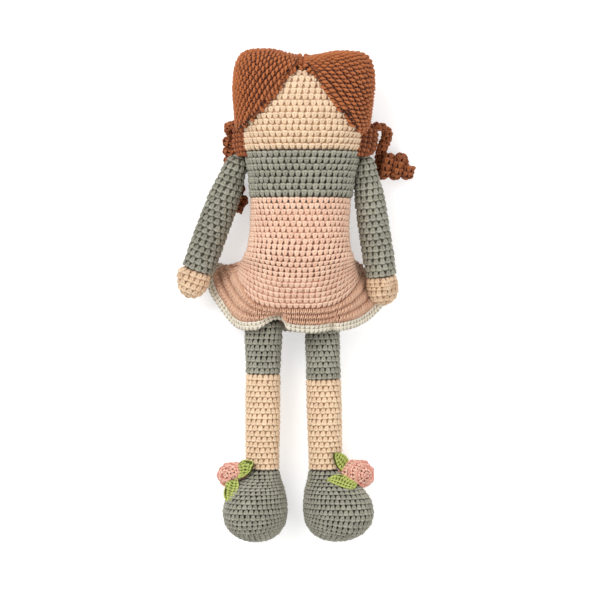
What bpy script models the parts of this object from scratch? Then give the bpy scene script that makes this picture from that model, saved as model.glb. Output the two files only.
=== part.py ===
"""Amigurumi doll: crocheted skins over soft stuffing, with sewn limbs, lying on its back.

X runs to the right of the front view, Y from the feet to the head and Z from the back to the front.
The origin lies on the flat of the back, under the middle of the body.
"""

import math

import bmesh
import bpy
from mathutils import Vector

MM = 0.001

# Fabric and clearances
WALL = 3.0 * MM
FRILL_WALL = 2.4 * MM
HAIR_WALL = 4.2 * MM
SEWN_GAP = 0.3 * MM
STUFFING_GAP = 1.1 * MM
HAIR_GAP = 0.5 * MM
PRESSED_FLAT = 0.5 * MM
WELD = 0.001 * MM
FLOOR_DEPTH = 20.0 * MM

# Body: one tube from the skirt to the neck, leaning a little to the left
YOKE_LENGTH = 33.2 * MM
WAIST_Y = 19.3 * MM
BODY_WIDTH = 72.0 * MM
BODY_DEPTH = 62.5 * MM
BODY_LEAN_SHARE = 0.03
LEAN_CENTRE_Y = 7.5 * MM
SQUARENESS_SHARE = 2.4
BODY_POINTS = 32

# Head
HEAD_LENGTH = 69.0 * MM
HEAD_WIDTH_SHARE = 1.278  # of the body's width
HEAD_WIDTH = BODY_WIDTH * HEAD_WIDTH_SHARE
HEAD_DEPTH = 72.0 * MM
HEAD_LIFT = 4.3 * MM
CROWN_DIP = 5.5 * MM
CROWN_DIP_REACH = 28.0 * MM
CROWN_TILT = 1.8 * MM

# Skirt, frill and hem
BODICE_LENGTH = 46.8 * MM
SKIRT_LENGTH = 23.0 * MM
FRILL_LENGTH = 18.0 * MM
HEM_LENGTH = 7.2 * MM
SEAM_STEP = 2.0 * MM
SKIRT_FLARE = 10.4 * MM
FRILL_FLARE = 14.0 * MM
HEM_FLARE = 6.0 * MM
FRILL_SPREAD = 4.0 * MM
SKIRT_RISE = 23.0 * MM
BODICE_RISE_SHARE = 0.1
BRIM_HEIGHT = 6.0 * MM
SKIRT_DROP = 7.0 * MM
FRILL_DROP = 9.0 * MM
HEM_DROP = 3.0 * MM
FRILL_WAVE = 1.4 * MM
FRILL_WAVES = 9
BACK_SAG = 3.0
SKIRT_POINT_SPACING = 6.5 * MM
SKIRT_POINTS = 4 * round(BODY_WIDTH / SKIRT_POINT_SPACING)

# Body base, which closes the stuffed body under the skirt
BASE_LENGTH = 32.0 * MM
BASE_OVERLAP = 5.5 * MM
BASE_LIFT = 9.0 * MM

# Hair
HAIR_EDGE_Y_SHARE = 0.19
PARTING = 0.3 * MM

# Arms
SHOULDER_RADIUS = 7.5 * MM
SHOULDER_SHARE = 0.71
ARM_LENGTH = 102.0 * MM
ARM_RADIUS = 10.6 * MM
LEFT_ARM_SPREAD = 20.5
RIGHT_ARM_SPREAD = 7.4
THUMB_RADIUS = 4.2 * MM
THUMB_SHARE = 0.85
LEFT_THUMB_AZIMUTH = -50
RIGHT_THUMB_AZIMUTH = 15
SEAM_RADIUS = 4.2 * MM
SEAM_THREAD = 0.6 * MM
LIMB_POINTS = 18
DOME_STEPS = 4

# Legs
LEG_RADIUS = 12.0 * MM
LEG_LENGTH = 161.3 * MM
SHOE_LENGTH = 51.1 * MM
HIP_SPACING_SHARE = 0.5875  # of the body's width
HIP_SPACING = BODY_WIDTH * HIP_SPACING_SHARE
HIP_SHIFT = 3.4 * MM
HIP_HEIGHT = 20.0 * MM
LEFT_LEG_SPREAD = 0.5
RIGHT_LEG_SPREAD = 1.4
LEFT_LEGGING_LENGTH = 40.5 * MM
RIGHT_LEGGING_LENGTH = 44.5 * MM
SHOE_WIDTH = 44.0 * MM
FOOT_LENGTH = 60.0 * MM
LEFT_TOE_OUT = 20.0
RIGHT_TOE_OUT = 38.0
SHOE_POINTS = 24

# Flowers and leaves
LEFT_FLOWER = (8.6 * MM, 32.0 * MM)  # radius, reach out from the leg's middle
RIGHT_FLOWER = (10.2 * MM, 35.0 * MM)
FLOWER_DROP = 4.0 * MM
FLOWER_AZIMUTH = 72.0
PETALS = 7
PETAL_SHARE = 0.1
LEAF_THICKNESS = 2.0 * MM
LEAF_POINTS = 8
# Each leaf: name, degrees round the leg, drop below the ankle, length, width, roll in degrees
LEFT_LEAVES = (
    ("leaf_upper_left", -44, -1.0 * MM, 14.0 * MM, 9.0 * MM, 35),
    ("leaf_lower_left", -72, 17.0 * MM, 16.0 * MM, 8.0 * MM, 90),
)
RIGHT_LEAVES = (
    ("leaf_upper_right", 46, -5.0 * MM, 17.0 * MM, 8.5 * MM, -48),
    ("leaf_lower_right", 30, 8.0 * MM, 20.0 * MM, 9.0 * MM, -4),
    ("leaf_small_right", 92, 15.0 * MM, 8.0 * MM, 6.0 * MM, 100),
)

# Pigtails
PIGTAIL_ROOT_HEIGHT = 24.0 * MM
PIGTAIL_ROOT_SHARE = 0.235
LEFT_ROOT_RISE_SHARE = 0.045
PIGTAIL_REACH = 30.0 * MM
RIGHT_STRAND = 3.3 * MM
RIGHT_CURL = 6.0 * MM
RIGHT_CURL_PITCH = 8.6 * MM
RIGHT_CURLS = 2.5
LEFT_STRAND = 2.5 * MM
LEFT_CURL = 3.6 * MM
LEFT_CURLS = 7
CURL_POINTS = 9


# The scene, the collections and the colours


def clear_scene():
    for item in list(bpy.data.objects):
        bpy.data.objects.remove(item)


def new_collection(name):
    collection = bpy.data.collections.new(name)
    bpy.context.scene.collection.children.link(collection)
    return collection


def yarn(name, colour):
    """Matt cotton yarn of one colour."""
    material = bpy.data.materials.new(name)
    material.use_nodes = True
    surface = material.node_tree.nodes["Principled BSDF"]
    surface.inputs["Base Color"].default_value = (*colour, 1)
    surface.inputs["Roughness"].default_value = 0.9
    surface.inputs["Metallic"].default_value = 0
    return material


SKIN = (0.80, 0.61, 0.45)
GREY = (0.36, 0.37, 0.31)
DARK_GREY = (0.31, 0.32, 0.26)
PINK = (0.83, 0.58, 0.44)
FRILL_PINK = (0.80, 0.52, 0.37)
CREAM = (0.85, 0.80, 0.66)
BROWN = (0.36, 0.15, 0.07)
CORAL = (0.83, 0.42, 0.33)
GREEN = (0.42, 0.50, 0.12)
FILLING = (0.90, 0.89, 0.86)


def finish(name, mesh, colour, parent=None):
    """Turn a bmesh into a named, smooth-shaded object of the doll."""
    bmesh.ops.remove_doubles(mesh, verts=mesh.verts, dist=WELD)
    bmesh.ops.recalc_face_normals(mesh, faces=mesh.faces)
    if mesh.calc_volume(signed=True) < 0:
        bmesh.ops.reverse_faces(mesh, faces=mesh.faces)
    data = bpy.data.meshes.new(name)
    mesh.to_mesh(data)
    mesh.free()
    data.shade_smooth()
    data.materials.append(yarn(name, colour))
    item = bpy.data.objects.new(name, data)
    item.parent = parent
    DOLL.objects.link(item)
    return item


def cutter(item):
    """Keep a shape as a guide that only cuts other pieces."""
    DOLL.objects.unlink(item)
    CUTTERS.objects.link(item)
    item.hide_render = True
    item.display_type = "WIRE"
    return item


def cut(item, tool, operation="DIFFERENCE"):
    boolean = item.modifiers.new(tool.name, "BOOLEAN")
    boolean.object = tool
    boolean.operation = operation


def loft(rounds, closed_start=False, closed_end=False):
    """Skin a run of crochet rounds that all have the same number of points."""
    mesh = bmesh.new()
    loops = [[mesh.verts.new(point) for point in ring] for ring in rounds]
    count = len(loops[0])
    for here, there in zip(loops, loops[1:]):
        for i in range(count):
            after = (i + 1) % count
            mesh.faces.new((here[i], here[after], there[after], there[i]))
    if closed_start:
        mesh.faces.new(reversed(loops[0]))
    if closed_end:
        mesh.faces.new(loops[-1])
    return mesh


def shell(name, rounds_of, thickness, colour, closed=False, parent=None):
    """A crochet skin of this thickness: its outside, and its inside turned back from one end."""
    outside, inside = rounds_of(0), rounds_of(thickness)
    if closed:
        return finish(name, loft(inside[::-1] + outside, True, True), colour, parent)
    return finish(name, loft(outside + inside[::-1] + outside[:1]), colour, parent)


def ball(name, radius, centre, colour, parent=None):
    mesh = bmesh.new()
    bmesh.ops.create_uvsphere(mesh, u_segments=LIMB_POINTS, v_segments=LIMB_POINTS // 2, radius=radius)
    bmesh.ops.translate(mesh, verts=mesh.verts, vec=centre)
    return finish(name, mesh, colour, parent)


# Rounds of the body: ovals across Y, flat on the floor where the doll lies


def lean(y):
    """Sideways place of the body's middle at this height."""
    return (y - LEAN_CENTRE_Y) * BODY_LEAN_SHARE


def evenly(points, count):
    """The same closed outline with its points spaced evenly."""
    closed = points + points[:1]
    reach = [0]
    for here, there in zip(closed, closed[1:]):
        reach.append(reach[-1] + (there - here).length)
    found = []
    leg = 0
    for i in range(count):
        goal = reach[-1] * i / count
        while reach[leg + 1] < goal:
            leg += 1
        part = (goal - reach[leg]) / (reach[leg + 1] - reach[leg])
        found.append(closed[leg].lerp(closed[leg + 1], part))
    return found


def oval_round(y, half_width, top, side, bottom, count, flare=0, rise=0, inset=0, sag=2, steps=24):
    """One round: an oval with its own heights, a flat brim of this flare, and sides that rise along Y.

    The rise grows with the square of the way across in front, and with this power at the back."""
    brim = min(1, flare / WALL)
    half_width, top, side, bottom = half_width - inset, top - inset, side - inset * brim, bottom + inset
    outline = []
    for i in range(4 * steps):
        angle = math.pi / 2 * (i / steps - 1)
        across, up = math.cos(angle), math.sin(angle)
        reach = half_width if up > 0 else half_width + flare
        x = math.copysign(abs(across) ** (2 / SQUARENESS_SHARE), across) * reach
        z = side + abs(up) ** (2 / SQUARENESS_SHARE) * (top - side if up > 0 else bottom - side)
        share = abs(x) / (half_width + flare + inset)
        outline.append(Vector((x, y + rise * share ** (2 if up > 0 else sag), z)))
    middle = Vector((lean(y), 0, 0))
    return [point + middle for point in evenly(outline, count)]


def crown_dip(point, low, high):
    """Sink the middle of the crown between its two corners, and its right corner below the left one."""
    part = min(1, max(0, (point.y - low) / (high - low)))
    aside = (point.x - lean(high)) / CROWN_DIP_REACH
    drop = CROWN_DIP * math.cos(math.pi / 2 * min(1, abs(aside))) ** 2
    drop += CROWN_TILT * min(1, max(0, aside))
    return point - Vector((0, drop * part * part, 0))


# Each row: share of the head's length, of its width, of its depth, of its lift off the floor
HEAD_SHARES = (
    (0.00, 0.915, 0.94, -0.61),
    (0.20, 0.935, 0.98, 0.50),
    (0.42, 0.970, 1.00, 1.00),
    (0.62, 1.000, 1.00, 1.00),
    (0.78, 0.990, 0.92, 1.00),
    (0.89, 0.950, 0.74, 1.00),
    (0.96, 0.870, 0.47, 1.00),
    (1.00, 0.740, 0.00, 1.00),
)
NECK_Y = WAIST_Y + YOKE_LENGTH


def head_rounds(inflate=0, lowest_share=0):
    """Rounds of the head from the neck up to the sewn crown, swollen by a clearance."""
    rise = inflate + (HAIR_GAP if inflate > 0 else 0)
    crown = NECK_Y + HEAD_LENGTH + rise
    rounds = []
    for along, width, depth, lift in HEAD_SHARES:
        if along < lowest_share:
            continue
        half_depth = HEAD_DEPTH / 2 * depth
        middle = HEAD_DEPTH / 2 + HEAD_LIFT * lift
        swell = inflate if depth else 0
        y = NECK_Y + (HEAD_LENGTH + rise) * along
        ring = oval_round(
            y,
            HEAD_WIDTH / 2 * width + inflate,
            middle + half_depth + swell,
            middle,
            middle - half_depth - swell,
            BODY_POINTS,
        )
        rounds.append([crown_dip(point, NECK_Y + HEAD_LENGTH / 2, crown) for point in ring])
    return rounds


# Each row: share of the yoke's length above the waist, of the body's width, of its depth
YOKE_SHARES = (
    (0.00, 1.010, 1.00),
    (0.50, 1.055, 1.03),
    (1.00, 1.150, 1.09),
)


def body_side(depth_share):
    return BODY_DEPTH * depth_share * 0.47


def yoke_rounds(inset=0):
    rounds = []
    for along, width, depth in YOKE_SHARES:
        y = WAIST_Y + YOKE_LENGTH * along
        rounds.append(
            oval_round(
                y,
                BODY_WIDTH / 2 * width,
                BODY_DEPTH * depth - PRESSED_FLAT,
                body_side(depth),
                -PRESSED_FLAT,
                BODY_POINTS,
                inset=inset,
            )
        )
    return rounds


# Each row: share of the bodice's length below the waist, of the body's width, of its depth
BODICE_SHARES = (
    (0.00, 1.000, 1.00),
    (0.50, 0.990, 1.00),
    (0.84, 1.040, 1.02),
)
# Each row: share of the skirt's length below the bodice, of its flare, of its sides' rise, of the drop
SKIRT_SHARES = (
    (0.00, 0.05, 0.22, 0.00),
    (0.40, 0.25, 0.50, 0.25),
    (0.70, 0.55, 0.75, 0.55),
    (1.00, 1.00, 1.00, 1.00),
)
BODICE_END_Y = WAIST_Y - BODICE_LENGTH
SKIRT_END_Y = BODICE_END_Y - SKIRT_LENGTH
SKIRT_WIDTH = BODY_WIDTH * 1.22
FLARED_BODY_WIDTH = BODY_WIDTH * 1.1


def bodice_rounds(inset=0, count=SKIRT_POINTS):
    rounds = []
    for along, width, depth in BODICE_SHARES:
        y = WAIST_Y - BODICE_LENGTH * along
        rounds.append(
            oval_round(
                y,
                BODY_WIDTH / 2 * width,
                BODY_DEPTH * depth - PRESSED_FLAT,
                body_side(depth),
                -PRESSED_FLAT,
                count,
                rise=SKIRT_RISE * BODICE_RISE_SHARE * along * along,
                inset=inset,
            )
        )
    return rounds


def skirt_rounds(inset=0):
    rounds = []
    for along, flare, rise, drop in SKIRT_SHARES:
        width = FLARED_BODY_WIDTH + (SKIRT_WIDTH - FLARED_BODY_WIDTH) * flare
        side = body_side(1) + (BRIM_HEIGHT + SEWN_GAP - body_side(1)) * along**0.5
        rounds.append(
            oval_round(
                BODICE_END_Y - SKIRT_LENGTH * along,
                width / 2,
                BODY_DEPTH - PRESSED_FLAT - SKIRT_DROP * drop,
                side,
                -PRESSED_FLAT,
                SKIRT_POINTS,
                flare=(SKIRT_FLARE - (SKIRT_WIDTH - FLARED_BODY_WIDTH) / 2) * flare,
                rise=SKIRT_RISE * rise,
                inset=inset,
            )
        )
    return rounds


def dress_rounds(inset=0):
    return bodice_rounds(inset) + skirt_rounds(inset)


def hem_round(y, along, flare, top, bottom, wave, inset):
    """A round of the frill or hem, whose front lies in waves and whose back hangs lower at its sides."""
    ring = oval_round(
        y,
        SKIRT_WIDTH / 2 + FRILL_SPREAD * along,
        top,
        BRIM_HEIGHT,
        bottom,
        SKIRT_POINTS,
        flare=flare - FRILL_SPREAD * along,
        rise=SKIRT_RISE * (SKIRT_WIDTH / 2 + flare) / (SKIRT_WIDTH / 2 + brim_flare()),
        inset=inset,
        sag=2 + BACK_SAG * min(1, along),
    )
    for i, point in enumerate(ring):
        lift = math.sin(2 * math.pi * FRILL_WAVES * i / SKIRT_POINTS)
        if point.z > (top + bottom) / 2:
            point.z += wave * lift
    return ring


def brim_flare():
    """How far the skirt's last round reaches out past the body."""
    return SKIRT_FLARE - (SKIRT_WIDTH - FLARED_BODY_WIDTH) / 2


SKIRT_END_TOP = BODY_DEPTH - PRESSED_FLAT - SKIRT_DROP
FRILL_END_Y = SKIRT_END_Y - FRILL_LENGTH


def frill_rounds(inset=0):
    rounds = []
    for along in (0, 0.5, 1):
        y = SKIRT_END_Y - SEAM_STEP - (FRILL_LENGTH - SEAM_STEP) * along
        flare = brim_flare() + FRILL_FLARE * along
        top = SKIRT_END_TOP - FRILL_DROP * along
        rounds.append(hem_round(y, along, flare, top, PRESSED_FLAT, FRILL_WAVE * along, inset))
    return rounds


def hem_rounds(inset=0):
    rounds = []
    for along in (0, 1):
        y = FRILL_END_Y - SEAM_STEP - (HEM_LENGTH - SEAM_STEP) * along
        flare = brim_flare() + FRILL_FLARE + HEM_FLARE * along
        top = SKIRT_END_TOP - FRILL_DROP - HEM_DROP * along
        rounds.append(hem_round(y, 1 + along / 2, flare, top, PRESSED_FLAT, FRILL_WAVE, inset))
    return rounds


# Each row: share of the base's length below its top, of its width, of its depth, of its lift off the back
BASE_SHARES = (
    (0.00, 1.00, 1.000, 0.00),
    (0.35, 0.990, 0.945, 0.01),
    (0.65, 0.985, 0.86, 0.05),
    (0.88, 0.97, 0.77, 0.22),
    (0.965, 0.94, 0.69, 0.60),
    (1.00, 0.88, 0.61, 1.00),
)
BASE_TOP_Y = BODICE_END_Y + BASE_OVERLAP
BASE_END_Y = BASE_TOP_Y - BASE_LENGTH


def base_rounds(inset=0):
    """Rounds of the bag that closes the body under the skirt."""
    fit = WALL + SEWN_GAP
    rounds = []
    for along, width, depth, lift in BASE_SHARES:
        y = BASE_TOP_Y - BASE_LENGTH * along + inset * along
        rounds.append(
            oval_round(
                y,
                (BODY_WIDTH / 2 - fit) * width,
                (BODY_DEPTH - PRESSED_FLAT - fit) * depth,
                body_side(1) * (depth + 1) / 2,
                fit - PRESSED_FLAT + BASE_LIFT * lift,
                BODY_POINTS,
                inset=inset,
            )
        )
    return rounds


def stuffing_rounds():
    """Rounds of the filling, from the base up through the yoke to the crown."""
    inset = WALL + STUFFING_GAP
    yoke = yoke_rounds(inset)
    bodice = bodice_rounds(inset, BODY_POINTS)[1:]
    below = [ring for ring in bodice if ring[0].y > BASE_TOP_Y + STUFFING_GAP]
    return base_rounds(inset)[::-1] + below[::-1] + yoke + head_rounds(-inset)[1:]


# Head and body pieces


def head():
    """The skin-coloured end of the body tube, sewn flat across the crown, with nothing on its face."""
    rounds = head_rounds(-WALL)[::-1] + head_rounds()
    for ring in (rounds[len(HEAD_SHARES) - 1], rounds[len(HEAD_SHARES)]):
        for point in ring:
            point.y += SEWN_GAP
    return finish("head", loft(rounds), SKIN)


def body_stuffing():
    return finish("body_stuffing", loft(stuffing_rounds(), closed_start=True), FILLING)


def floor_cutter():
    """A block under the doll, which presses flat what lies on the floor."""
    span = HEAD_LENGTH + LEG_LENGTH
    mesh = bmesh.new()
    bmesh.ops.create_cube(mesh, size=1)
    bmesh.ops.scale(mesh, verts=mesh.verts, vec=(2 * span, 2 * span, FLOOR_DEPTH))
    bmesh.ops.translate(mesh, verts=mesh.verts, vec=(0, 0, -FLOOR_DEPTH / 2))
    return cutter(finish("floor_cutter", mesh, FILLING))


# Hair: two caps over the head, open round the face and parted in the middle

# Each row: share of the head's half width across, share of the head's length up from the neck
LEFT_HAIRLINE_SHARES = (
    (0.0, 1.10),
    (-0.06, 0.955),
    (-0.30, 0.72),
    (-0.50, 0.53),
    (-0.89, 0.265),
    (-1.2, 0.10),
)
RIGHT_HAIRLINE_SHARES = (
    (0.0, 1.10),
    (0.02, 0.90),
    (0.24, 0.71),
    (0.47, 0.51),
    (0.80, 0.245),
    (1.2, 0.06),
)


def face_cutter():
    """The part of the cap that is left open for the face, from the parting down to both pigtails."""
    outline = list(LEFT_HAIRLINE_SHARES[::-1]) + list(RIGHT_HAIRLINE_SHARES[1:])
    base = HEAD_DEPTH / 2 + HEAD_LIFT
    mesh = bmesh.new()
    corners = []
    for across, up in outline:
        y = NECK_Y + HEAD_LENGTH * up
        corners.append(mesh.verts.new((HEAD_WIDTH / 2 * across + lean(y), y, base)))
    face = mesh.faces.new(corners)
    risen = bmesh.ops.extrude_face_region(mesh, geom=[face])
    verts = [item for item in risen["geom"] if isinstance(item, bmesh.types.BMVert)]
    bmesh.ops.translate(mesh, verts=verts, vec=(0, 0, HEAD_DEPTH))
    return cutter(finish("face_cutter", mesh, SKIN))


def parting_cutter(side):
    """A block over the other half of the head, up to the parting."""
    mesh = bmesh.new()
    bmesh.ops.create_cube(mesh, size=1)
    size = 2 * HEAD_WIDTH
    bmesh.ops.scale(mesh, verts=mesh.verts, vec=(size, size, size))
    y = NECK_Y + HEAD_LENGTH / 2
    middle = lean(y) - side * (size / 2 - PARTING / 2)
    bmesh.ops.translate(mesh, verts=mesh.verts, vec=(middle, y, HEAD_DEPTH / 2))
    name = "left_parting_cutter" if side < 0 else "right_parting_cutter"
    return cutter(finish(name, mesh, BROWN))


def hair(name, side, face, floor):
    """One half of the hair, a thick cap from the parting down to the root of its pigtail."""
    inside = head_rounds(HAIR_GAP, HAIR_EDGE_Y_SHARE)
    outside = head_rounds(HAIR_GAP + HAIR_WALL, HAIR_EDGE_Y_SHARE)
    item = finish(name, loft(inside[::-1] + outside), BROWN)
    for tool in (face, parting_cutter(side), floor):
        cut(item, tool)
    return item


# Pigtails: crocheted strips that curl up by themselves

# Route from the root to the first curl, as shares of the pigtail's reach, chosen by hand
RIGHT_ROUTE_SHARES = (
    (0.00, 0.00, 0.00),
    (0.13, 0.06, -0.02),
    (0.29, 0.11, -0.08),
    (0.43, 0.02, -0.20),
    (0.46, -0.12, -0.32),
    (0.38, -0.29, -0.42),
    (0.31, -0.48, -0.52),
    (0.28, -0.68, -0.62),
)
LEFT_ROUTE_SHARES = (
    (0.00, 0.00, 0.00),
    (-0.12, 0.03, -0.08),
    (-0.24, -0.04, -0.22),
)
LEFT_GUIDE_SHARES = ((-0.14, -0.20), (-0.19, -0.95), (0.15, -2.02))


def hair_side(side, y, z):
    """Where the outside of the hair lies at this height up the head and off the floor."""
    share = (y - NECK_Y) / HEAD_LENGTH
    for below, above in zip(HEAD_SHARES, HEAD_SHARES[1:]):
        if below[0] <= share <= above[0]:
            part = (share - below[0]) / (above[0] - below[0])
            pairs = zip(below[1:], above[1:])
            width, depth, lift = (low + (high - low) * part for low, high in pairs)
    half_width = HEAD_WIDTH / 2 * width + HAIR_GAP + HAIR_WALL
    half_depth = HEAD_DEPTH / 2 * depth + HAIR_GAP + HAIR_WALL
    off = abs(z - HEAD_DEPTH / 2 - HEAD_LIFT * lift) / half_depth
    return lean(y) + side * half_width * (1 - off**SQUARENESS_SHARE) ** (1 / SQUARENESS_SHARE)


def pigtail_root(side):
    rise = LEFT_ROOT_RISE_SHARE if side < 0 else 0
    y = NECK_Y + HEAD_LENGTH * (PIGTAIL_ROOT_SHARE + rise)
    strand = LEFT_STRAND if side < 0 else RIGHT_STRAND
    x = hair_side(side, y, PIGTAIL_ROOT_HEIGHT + strand) + side * 3 * SEWN_GAP
    return Vector((x, y, PIGTAIL_ROOT_HEIGHT))


def right_pigtail_points(root):
    """A loop off the head, a stem down to the floor, and a corkscrew beside the shoulder."""
    points = [root + Vector(share) * PIGTAIL_REACH for share in RIGHT_ROUTE_SHARES]
    height = RIGHT_CURL + RIGHT_STRAND + SEWN_GAP
    start = Vector((points[-1].x + SEWN_GAP, points[-1].y - RIGHT_CURL, height))
    for i in range(int(RIGHT_CURLS * CURL_POINTS) + 1):
        turn = i / CURL_POINTS
        angle = 2 * math.pi * turn
        swing = Vector((0, -RIGHT_CURL * math.sin(angle), -RIGHT_CURL * math.cos(angle)))
        points.append(start + Vector((RIGHT_CURL_PITCH * turn, 0, 0)) + swing)
    return points


def left_pigtail_points(root):
    """Tight curls that run down past the shoulder, under the arm."""
    points = [root + Vector(share) * PIGTAIL_REACH for share in LEFT_ROUTE_SHARES]
    guide = [root + Vector((*share, 0)) * PIGTAIL_REACH for share in LEFT_GUIDE_SHARES]
    height = LEFT_CURL + LEFT_STRAND + SEWN_GAP
    count = LEFT_CURLS * CURL_POINTS
    for i in range(count + 1):
        t = i / count
        along = guide[0] * (1 - t) ** 2 + guide[1] * 2 * t * (1 - t) + guide[2] * t * t
        angle = math.pi / 2 + 2 * math.pi * LEFT_CURLS * t
        swing = Vector((-LEFT_CURL * math.cos(angle), 0, LEFT_CURL * math.sin(angle)))
        points.append(Vector((along.x, along.y, height)) + swing)
    return points


def smooth_run(points, pieces=2):
    """Points of a smooth curve through these ones."""
    found = []
    last = len(points) - 1
    for i in range(last):
        before, here = points[max(0, i - 1)], points[i]
        there, after = points[i + 1], points[min(last, i + 2)]
        for k in range(pieces):
            t = k / pieces
            pull = (there - before) * t + (2 * before - 5 * here + 4 * there - after) * t * t
            bend = (3 * here - before - 3 * there + after) * t**3
            found.append(here + (pull + bend) / 2)
    return found + [points[-1]]


def least_gap(points, strand):
    """Narrowest space between two turns of the tube."""
    reach = [0]
    for here, there in zip(points, points[1:]):
        reach.append(reach[-1] + (there - here).length)
    gaps = [
        (there - here).length
        for i, here in enumerate(points)
        for k, there in enumerate(points)
        if reach[k] - reach[i] > 5 * strand
    ]
    return min(gaps) - 2 * strand


def pigtail(name, side):
    """A curled strip of crochet, sewn to the lower corner of its half of the hair."""
    root = pigtail_root(side)
    strand = LEFT_STRAND if side < 0 else RIGHT_STRAND
    points = left_pigtail_points(root) if side < 0 else right_pigtail_points(root)
    curve = bpy.data.curves.new(name, "CURVE")
    curve.dimensions = "3D"
    curve.bevel_depth = strand
    curve.bevel_resolution = 1
    curve.use_fill_caps = True
    spline = curve.splines.new("POLY")
    spline.points.add(len(points) - 1)
    for knot, point in zip(spline.points, points):
        knot.co = (*(point - root), 1)
    curve.materials.append(yarn(name, BROWN))
    item = bpy.data.objects.new(name, curve)
    item.location = root
    DOLL.objects.link(item)
    gap = least_gap(smooth_run(points), strand)
    print(f"{name}: least gap between its curls {gap / MM:.2f} mm")
    return item


# Limbs: each hangs from a pivot, with its own Z along the limb and its front at -Y


def pivot(name, place, spread, slope):
    """An empty on a limb's pivot, which lays the limb down with this spread and slope."""
    frame = bpy.data.objects.new(name, None)
    frame.location = place
    frame.rotation_euler = (math.radians(slope - 90), 0, math.radians(spread))
    DOLL.objects.link(frame)
    return frame


def outline(rows, length, radius, inset=0, dome=0):
    """Radius and height of a limb's skin from its top down, drawn in by an inset."""
    shrink = 1 - inset / radius
    points = []
    for i in range(DOME_STEPS if dome else 0):
        angle = math.pi / 2 * i / DOME_STEPS
        points.append((dome * shrink * math.sin(angle), dome * shrink * math.cos(angle)))
    first, last = rows[0][0], rows[-1][0]
    for along, share in rows:
        tip = inset * (along - first) / (last - first) if rows[-1][1] == 0 else 0
        points.append((radius * share * shrink, tip - length * along))
    return points


def turned(name, profile, colour, parent):
    """Turn a profile round the limb's own Z."""
    mesh = bmesh.new()
    verts = [mesh.verts.new((radius, 0, height)) for radius, height in profile]
    for here, there in zip(verts, verts[1:]):
        mesh.edges.new((here, there))
    if profile[0][0] > 0:
        mesh.edges.new((verts[-1], verts[0]))
    item = finish(name, mesh, colour, parent)
    screw = item.modifiers.new("turned", "SCREW")
    screw.axis = "Z"
    screw.steps = LIMB_POINTS
    screw.render_steps = LIMB_POINTS
    screw.use_merge_vertices = True
    screw.merge_threshold = WELD
    screw.use_smooth_shade = True
    return item


def limb_skin(name, rows, length, radius, colour, parent, dome=0):
    """One colour of a limb's crochet tube."""
    outside = outline(rows, length, radius, 0, dome)
    inside = outline(rows, length, radius, WALL, dome)
    return turned(name, outside + inside[::-1], colour, parent)


def thread_ring(name, place, along_x, thread, colour):
    """A ring of sewing stitches round the end of a limb."""
    turn = (0, math.pi / 2, 0) if along_x else (math.pi / 2, 0, 0)
    bpy.ops.mesh.primitive_torus_add(
        location=place,
        rotation=turn,
        major_radius=SEAM_RADIUS,
        minor_radius=thread,
        major_segments=LIMB_POINTS,
        minor_segments=6,
    )
    item = bpy.context.object
    item.name = name
    for collection in list(item.users_collection):
        collection.objects.unlink(item)
    DOLL.objects.link(item)
    item.data.shade_smooth()
    item.data.materials.append(yarn(name, colour))
    return item


# Each row: share of the arm's length, of its radius
SLEEVE_SHARES = (
    (0.00, 0.708),
    (0.06, 0.735),
    (0.16, 0.900),
    (0.27, 0.975),
    (0.45, 1.000),
    (0.65, 1.015),
    (0.785, 0.975),
)
HAND_SHARES = (
    (0.788, 0.975),
    (0.83, 1.060),
    (0.88, 1.080),
    (0.92, 1.020),
    (0.955, 0.860),
    (0.980, 0.620),
    (0.994, 0.330),
    (1.00, 0.00),
)


def shoulder_place(side):
    """The pivot of an arm, a sewn gap off the side of the yoke."""
    y = WAIST_Y + YOKE_LENGTH * SHOULDER_SHARE
    below, above = YOKE_SHARES[1:]
    part = (SHOULDER_SHARE - below[0]) / (above[0] - below[0])
    half_width = BODY_WIDTH / 2 * (below[1] + (above[1] - below[1]) * part)
    x = lean(y) + side * (half_width + SHOULDER_RADIUS + SEWN_GAP)
    return Vector((x, y, body_side(below[2])))


def arm_slope():
    """Angle at which an arm comes down from the shoulder to lie over the brim of the skirt."""
    hand = ARM_RADIUS * max(share for along, share in HAND_SHARES)
    drop = body_side(YOKE_SHARES[1][2]) - hand - BRIM_HEIGHT - 6 * SEWN_GAP
    return math.degrees(math.asin(drop / (ARM_LENGTH * HAND_SHARES[2][0])))


def seam_reach(radius):
    """How far a ring of stitches lies from a pivot, sunk in the body's skin."""
    return radius + SEWN_GAP + SEAM_THREAD


def arm(word, side, spread, thumb_azimuth):
    """Sleeve, hand and filling of one arm, hung from the shoulder."""
    frame = pivot(f"{word}_shoulder_pivot", shoulder_place(side), spread, arm_slope())
    limb_skin(f"sleeve_{word}", SLEEVE_SHARES, ARM_LENGTH, ARM_RADIUS, GREY, frame, SHOULDER_RADIUS)
    hand = limb_skin(f"hand_{word}", HAND_SHARES, ARM_LENGTH, ARM_RADIUS, SKIN, frame)
    turn = math.radians(thumb_azimuth)
    reach = ARM_RADIUS * HAND_SHARES[2][1] + THUMB_RADIUS / 4
    spot = Vector((reach * math.sin(turn), -reach * math.cos(turn), -ARM_LENGTH * THUMB_SHARE))
    thumb = cutter(ball(f"thumb_{word}", THUMB_RADIUS, spot, SKIN, frame))
    cut(hand, thumb, "UNION")
    filling = WALL + STUFFING_GAP
    whole = outline(SLEEVE_SHARES, ARM_LENGTH, ARM_RADIUS, filling, SHOULDER_RADIUS)
    whole += outline(HAND_SHARES, ARM_LENGTH, ARM_RADIUS, filling)[1:]
    turned(f"arm_stuffing_{word}", whole, FILLING, frame)


def shoulder_stitches(word, side, thread, colour=GREY):
    place = shoulder_place(side) - Vector((side * seam_reach(SHOULDER_RADIUS), 0, 0))
    return thread_ring(f"shoulder_stitches_{word}", place, True, thread, colour)


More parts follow.
